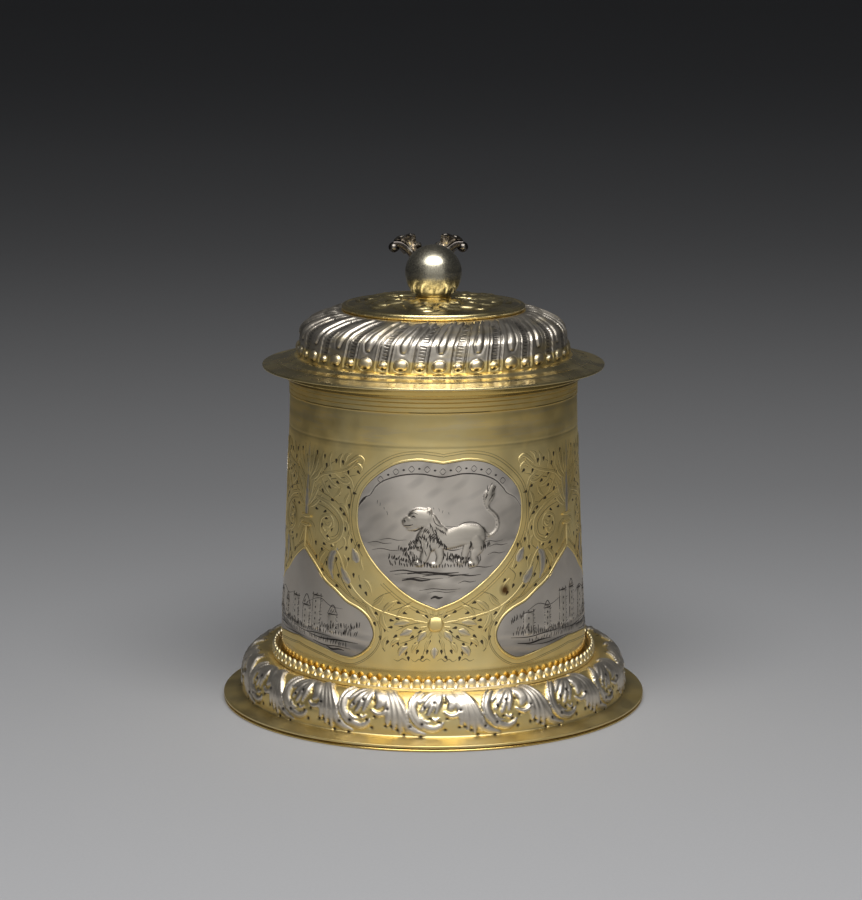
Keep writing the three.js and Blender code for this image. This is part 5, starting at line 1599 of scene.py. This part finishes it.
def makePlateau():
    edge, seat, top, sheet = lid["plateau"], lid["plateauSeat"], lid["plateauTop"], lid["sheet"]
    roll = quarter((edge - 1.35, seat + 1.35), (1.35, 1.35), -50, 95, 12)
    groove = [(edge - 1.9, seat + 2.45), (edge - 2.3, seat + 2.55)]
    crown = smoothLine([(edge - 2.8, seat + 2.75), (31, 165.6), (20.7, 166.5), (11, 167.0), (6.2, top)],
                       96)
    inner = [(lid["hole"], top), (lid["hole"], top - sheet), (20.7, 165.3), (34, 163.7),
             (edge - 1.2, seat)]
    outline = [*roll, *groove, *map(tuple, crown), *inner]
    piece = spun("lidPlateau", outline, 560, 60)
    units, reach = lid["plateauUnits"]
    unitWidth = 2 * math.pi * reach / units
    marks = [movedStroke(mark, (shift, 0)) for shift in (0, unitWidth, -unitWidth)
             for mark in plateauMarks()]

    def relief(angle, along, radius, height):
        turn = (angle + 4 * math.pi) % (2 * math.pi)
        u = (turn * reach) % unitWidth
        v = radius + 0.4 * wobble(angle * 20, radius, 6, 8)
        over = (height > seat + 2.6) & (radius > 7.5)
        lift, inside = np.zeros(len(u)), np.zeros(len(u))
        lift[over], inside[over] = strokeField(u[over], v[over], marks)
        edges = 0.4 * np.clip(1 - inside * 6, 0, 1) * (inside > 0)
        shade = np.where(over & (inside == 0), 0.34, 0) + edges
        return lift * 0.95, {"tarnish": shade}

    carve(piece, outline, relief)
    return dress(piece, brimMetal, "lid", "lid_plateau")


def makeBezel():
    seat, outer, inner, step = 135.05, 57.1, 56.0, 62.4
    outline = [(inner, 130.0), (inner + 0.2, 129.8), (outer - 0.2, 129.8), (outer, 130.0), (outer, seat)]
    outline += [(step - 1.5, seat), (step - 1.5, 136.2),
                *quarter((step - 0.4, 136.6), (0.4, 0.4), 270, 360, 3)]
    outline += [(step, 138.1), (step - 0.25, 138.3), (step, 138.5), (step, 140.5), (step - 1.1, 140.6)]
    outline += [(step - 1.1, 137.2), (step - 2.4, 136.6), (step - 2.4, seat + 1.1), (inner, seat + 1.1)]
    return dress(spun("lidBezel", outline, 240, 30), brightGilt, "lid", "lid_bezel")


makeLidShell()
makePlateau()
makeBezel()
print("lid ready")


# Finial

finial = {
    "ball": 11.65,
    "middle": 177.387,  # height of the ball's centre
    "seat": 6.9,
    "seatHeight": 168.0,
    "collar": 7.6,
    "collarFoot": 167.2,
    "hole": 2.3,
    "holeTop": 175.3,
}


def makeFinial():
    size, middle = finial["ball"], finial["middle"]
    start = math.degrees(math.asin(finial["seat"] / size)) - 90
    skin = quarter((0, middle), (size, size), start, 90, 64)
    skin = [(0 if abs(radius) < 1e-6 else radius, height) for radius, height in skin]
    seam = [(radius - 0.05 * math.exp(-((height - middle) / 0.22) ** 2), height)
            for radius, height in skin]
    outline = [(0, finial["holeTop"]), (finial["hole"], finial["holeTop"]),
               (finial["hole"], finial["seatHeight"]), *seam]
    dress(spun("finialBall", outline, 96, 40), ballSilver, "lid", "finial_ball")
    foot = finial["collarFoot"]
    ring = [(finial["hole"], foot), (finial["collar"], foot),
            *quarter((7.25, foot + 0.3), (0.3, 0.25), -20, 80, 5)]
    ring += [(7.0, foot + 0.7), (finial["seat"], finial["seatHeight"]),
             (finial["hole"], finial["seatHeight"])]
    return dress(spun("finialCollar", ring, 72), brightGilt, "lid", "finial_collar")


makeFinial()
print("finial ready")


# Sweeps: a section carried along a line

def swept(name, centres, tangents, side, sections):
    # sections[i] lists (across, out) points; across runs along side and out is square to it and the line
    places, faces = [], []
    for centre, tangent, section in zip(centres, tangents, sections):
        out = np.cross(tangent, side)
        places += [tuple(centre + side * across + out * lift) for across, lift in section]
    corners = len(sections[0])
    for step in range(len(centres) - 1):
        for corner in range(corners):
            beside = (corner + 1) % corners
            faces.append((step * corners + corner, step * corners + beside,
                          (step + 1) * corners + beside, (step + 1) * corners + corner))
    faces.append(tuple(range(corners))[::-1])
    faces.append(tuple((len(centres) - 1) * corners + corner for corner in range(corners)))
    return solidOf(name, places, faces, 45)


def lineTangents(points):
    ahead = np.gradient(points, axis=0)
    return ahead / np.linalg.norm(ahead, axis=1)[:, None]


def copyOfNode(node, name):
    # a CAD shape's own copy, merged and left in edit mode
    piece = bpy.data.objects.new(name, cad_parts[node].data.copy())
    bpy.context.scene.collection.objects.link(piece)
    editAll(piece)
    bpy.ops.mesh.remove_doubles(threshold=0.002 * mm)
    return piece


def fromCad(node, name, material, body, bevel=0.2):
    # a small plain fitting: the CAD shape with softened edges
    piece = copyOfNode(node, name)
    bpy.ops.mesh.dissolve_limited(angle_limit=math.radians(1))
    bpy.ops.object.mode_set(mode="OBJECT")
    edges = piece.modifiers.new("edges", "BEVEL")
    edges.width = bevel * mm
    edges.segments = 2
    edges.limit_method = "ANGLE"
    edges.angle_limit = math.radians(35)
    bpy.ops.object.modifier_apply(modifier="edges")
    bpy.ops.object.shade_smooth_by_angle(angle=math.radians(35))
    return dress(piece, material, body, node)


def softened(node, name, material, body, sharpness=35):
    # a curved sheet from the CAD: its facets rounded, its sharp edges kept
    piece = copyOfNode(node, name)
    bpy.ops.mesh.tris_convert_to_quads(face_threshold=math.radians(30), shape_threshold=math.radians(60))
    bpy.ops.mesh.select_all(action="DESELECT")
    bpy.ops.mesh.select_mode(type="EDGE")
    bpy.ops.mesh.edges_select_sharp(sharpness=math.radians(sharpness))
    bpy.ops.transform.edge_crease(value=0.85)
    bpy.ops.object.mode_set(mode="OBJECT")
    rounding = piece.modifiers.new("rounding", "SUBSURF")
    rounding.levels = 2
    bpy.ops.object.modifier_apply(modifier="rounding")
    bpy.ops.object.shade_smooth_by_angle(angle=math.radians(40))
    return dress(piece, material, body, node)


softened("handle_outer_strap", "handleBack", plainSilver, "vessel")
softened("handle_inner_strap", "handleInside", plainSilver, "vessel")
softened("handle_rib", "handleRib", brightGilt, "vessel")


# Thumbpiece: a stem that forks into two leaves with curled lobes; x to the side, z up, y to the back

thumb = {
    "middle": 65.2,  # between its two flat sides
    "depth": 5.6,
    "stem": [(145.2, 13), (147.6, 12.8), (150.6, 9.4), (155.0, 6.9), (161, 6.4), (167, 7.0), (171, 8.0)],
    "wing": [(1.9, 164), (2.7, 169.5), (4.9, 174.8), (8.3, 179.2), (12.0, 182.0), (15.0, 182.2)],
    "curl": (14.9, 180.8, 2.4),  # across, height and radius of the drooping end
    "lobes": [  # root, bend and tip as (x, y, z), then width
        ((3.4, 65.4, 171.5), (4.4, 66.2, 178.8), (4.9, 64.4, 183.0), 3.6),
        ((5.8, 65.6, 174.6), (8.0, 66.8, 181.6), (8.9, 65.2, 186.3), 6.6),
        ((9.4, 65.8, 178.0), (11.9, 66.8, 182.6), (12.9, 65.2, 185.3), 5.0),
    ],
}


def leafSection(width, thick):
    shares = np.linspace(-1, 1, 9)
    front = [(share * width / 2, thick * (0.5 - 0.35 * abs(share))
              - 0.25 * thick * math.exp(-(share / 0.2) ** 2))
             for share in shares]
    back = [(share * width / 2, -thick * (0.5 - 0.4 * abs(share))) for share in shares[::-1]]
    return front + back


def roundSection(width, thick, grooves=0.0):
    loop = []
    for step in range(28):
        a = 2 * math.pi * step / 28
        c, d = math.cos(a), math.sin(a)
        squared = (abs(c) ** 4 + abs(d) ** 4) ** -0.25
        dip = 1 - grooves * math.exp(-(c / 0.22) ** 2)
        loop.append((c * squared * width / 2, d * squared * thick / 2 * dip))
    return loop


def makeThumbpiece():
    middle, depth, pieces = thumb["middle"], thumb["depth"], []
    rows = smoothLine(thumb["stem"], 40)
    centres = np.array([(0, middle, height) for height, width in rows])
    sections = [roundSection(width, depth, 0.16) for height, width in rows]
    pieces.append(swept("thumbStem", centres, np.tile([0, 0, 1.0], (40, 1)), np.array([1.0, 0, 0]),
                        sections))
    for hand in (1, -1):
        line = smoothLine(thumb["wing"], 30)
        centres = np.array([(hand * x, middle, z) for x, z in line])
        share = np.linspace(0, 1, 30)
        sections = [roundSection(depth * (1 - 0.28 * t), 3.8 * (1 - 0.2 * t), -0.12) for t in share]
        pieces.append(swept("thumbWing", centres, lineTangents(centres), np.array([0, 1.0, 0]),
                            sections))
        deselect()
        bpy.ops.mesh.primitive_uv_sphere_add(
            segments=24, ring_count=14, radius=thumb["curl"][2] * mm,
            location=(hand * thumb["curl"][0] * mm, axisY + (middle - 0.4) * mm, thumb["curl"][1] * mm))
        pieces.append(asPiece("thumbCurl"))
        bpy.ops.object.shade_smooth()
        for root, bend, tip, width in thumb["lobes"]:
            line = smoothLine([(hand * x, y, z) for x, y, z in (root, bend, tip)], 18)
            ahead = line[-1] - line[0]
            side = np.array([ahead[2], 0, -ahead[0]]) / math.hypot(ahead[0], ahead[2])
            widths = width * np.interp(np.linspace(0, 1, 18), [0, 0.5, 0.85, 0.96, 1],
                                       [0.5, 0.9, 1, 0.8, 0.35])
            sections = [leafSection(w, 2.2) for w in widths]
            pieces.append(swept("thumbLobe", line, lineTangents(line), side, sections))
    piece = joined("thumbpiece", pieces)
    places = readPlaces(piece)
    away, height = np.abs(places[:, 0]), places[:, 2]
    # painted light: the bright mask holds painted highlights on the inner facets and a painted glint on the
    # curl; the rest is darkened as painted shade, less towards the back
    bright = np.exp(-((away - 7.0) / 1.7) ** 4) * (height > 179.4) * (height < 183.2)
    bright = np.maximum(bright, np.exp(-((away - 4.3) / 0.9) ** 4) * (height > 181.8))
    bright = np.maximum(bright, 0.5 * np.exp(-((away - 15.4) / 0.8) ** 2 - ((height - 181) / 0.9) ** 2))
    behind = np.clip((places[:, 1] - middle) / 1.5 + 0.5, 0, 1)
    paint(piece, tarnish=(0.95 - 0.5 * behind) * (1 - bright))
    return dress(piece, thumbSilver, "lid", "thumbpiece")


makeThumbpiece()

hingeNodes = {
    "vessel": ("handle_upper_plate", "handle_lower_pad", "handle_shield", "handle_hinge_leaf",
               "handle_knuckle_left", "handle_knuckle_middle", "handle_knuckle_right", "hinge_pin",
               "hinge_cap_left", "hinge_cap_right"),
    "lid": ("finial_pin", "finial_nut", "lid_hinge_leaf", "lid_knuckle_left", "lid_knuckle_right"),
}
for body, nodes in hingeNodes.items():
    for node in nodes:
        first, *rest = node.split("_")
        fromCad(node, first + "".join(word.capitalize() for word in rest), plainSilver, body)
print("hinge and fittings ready")
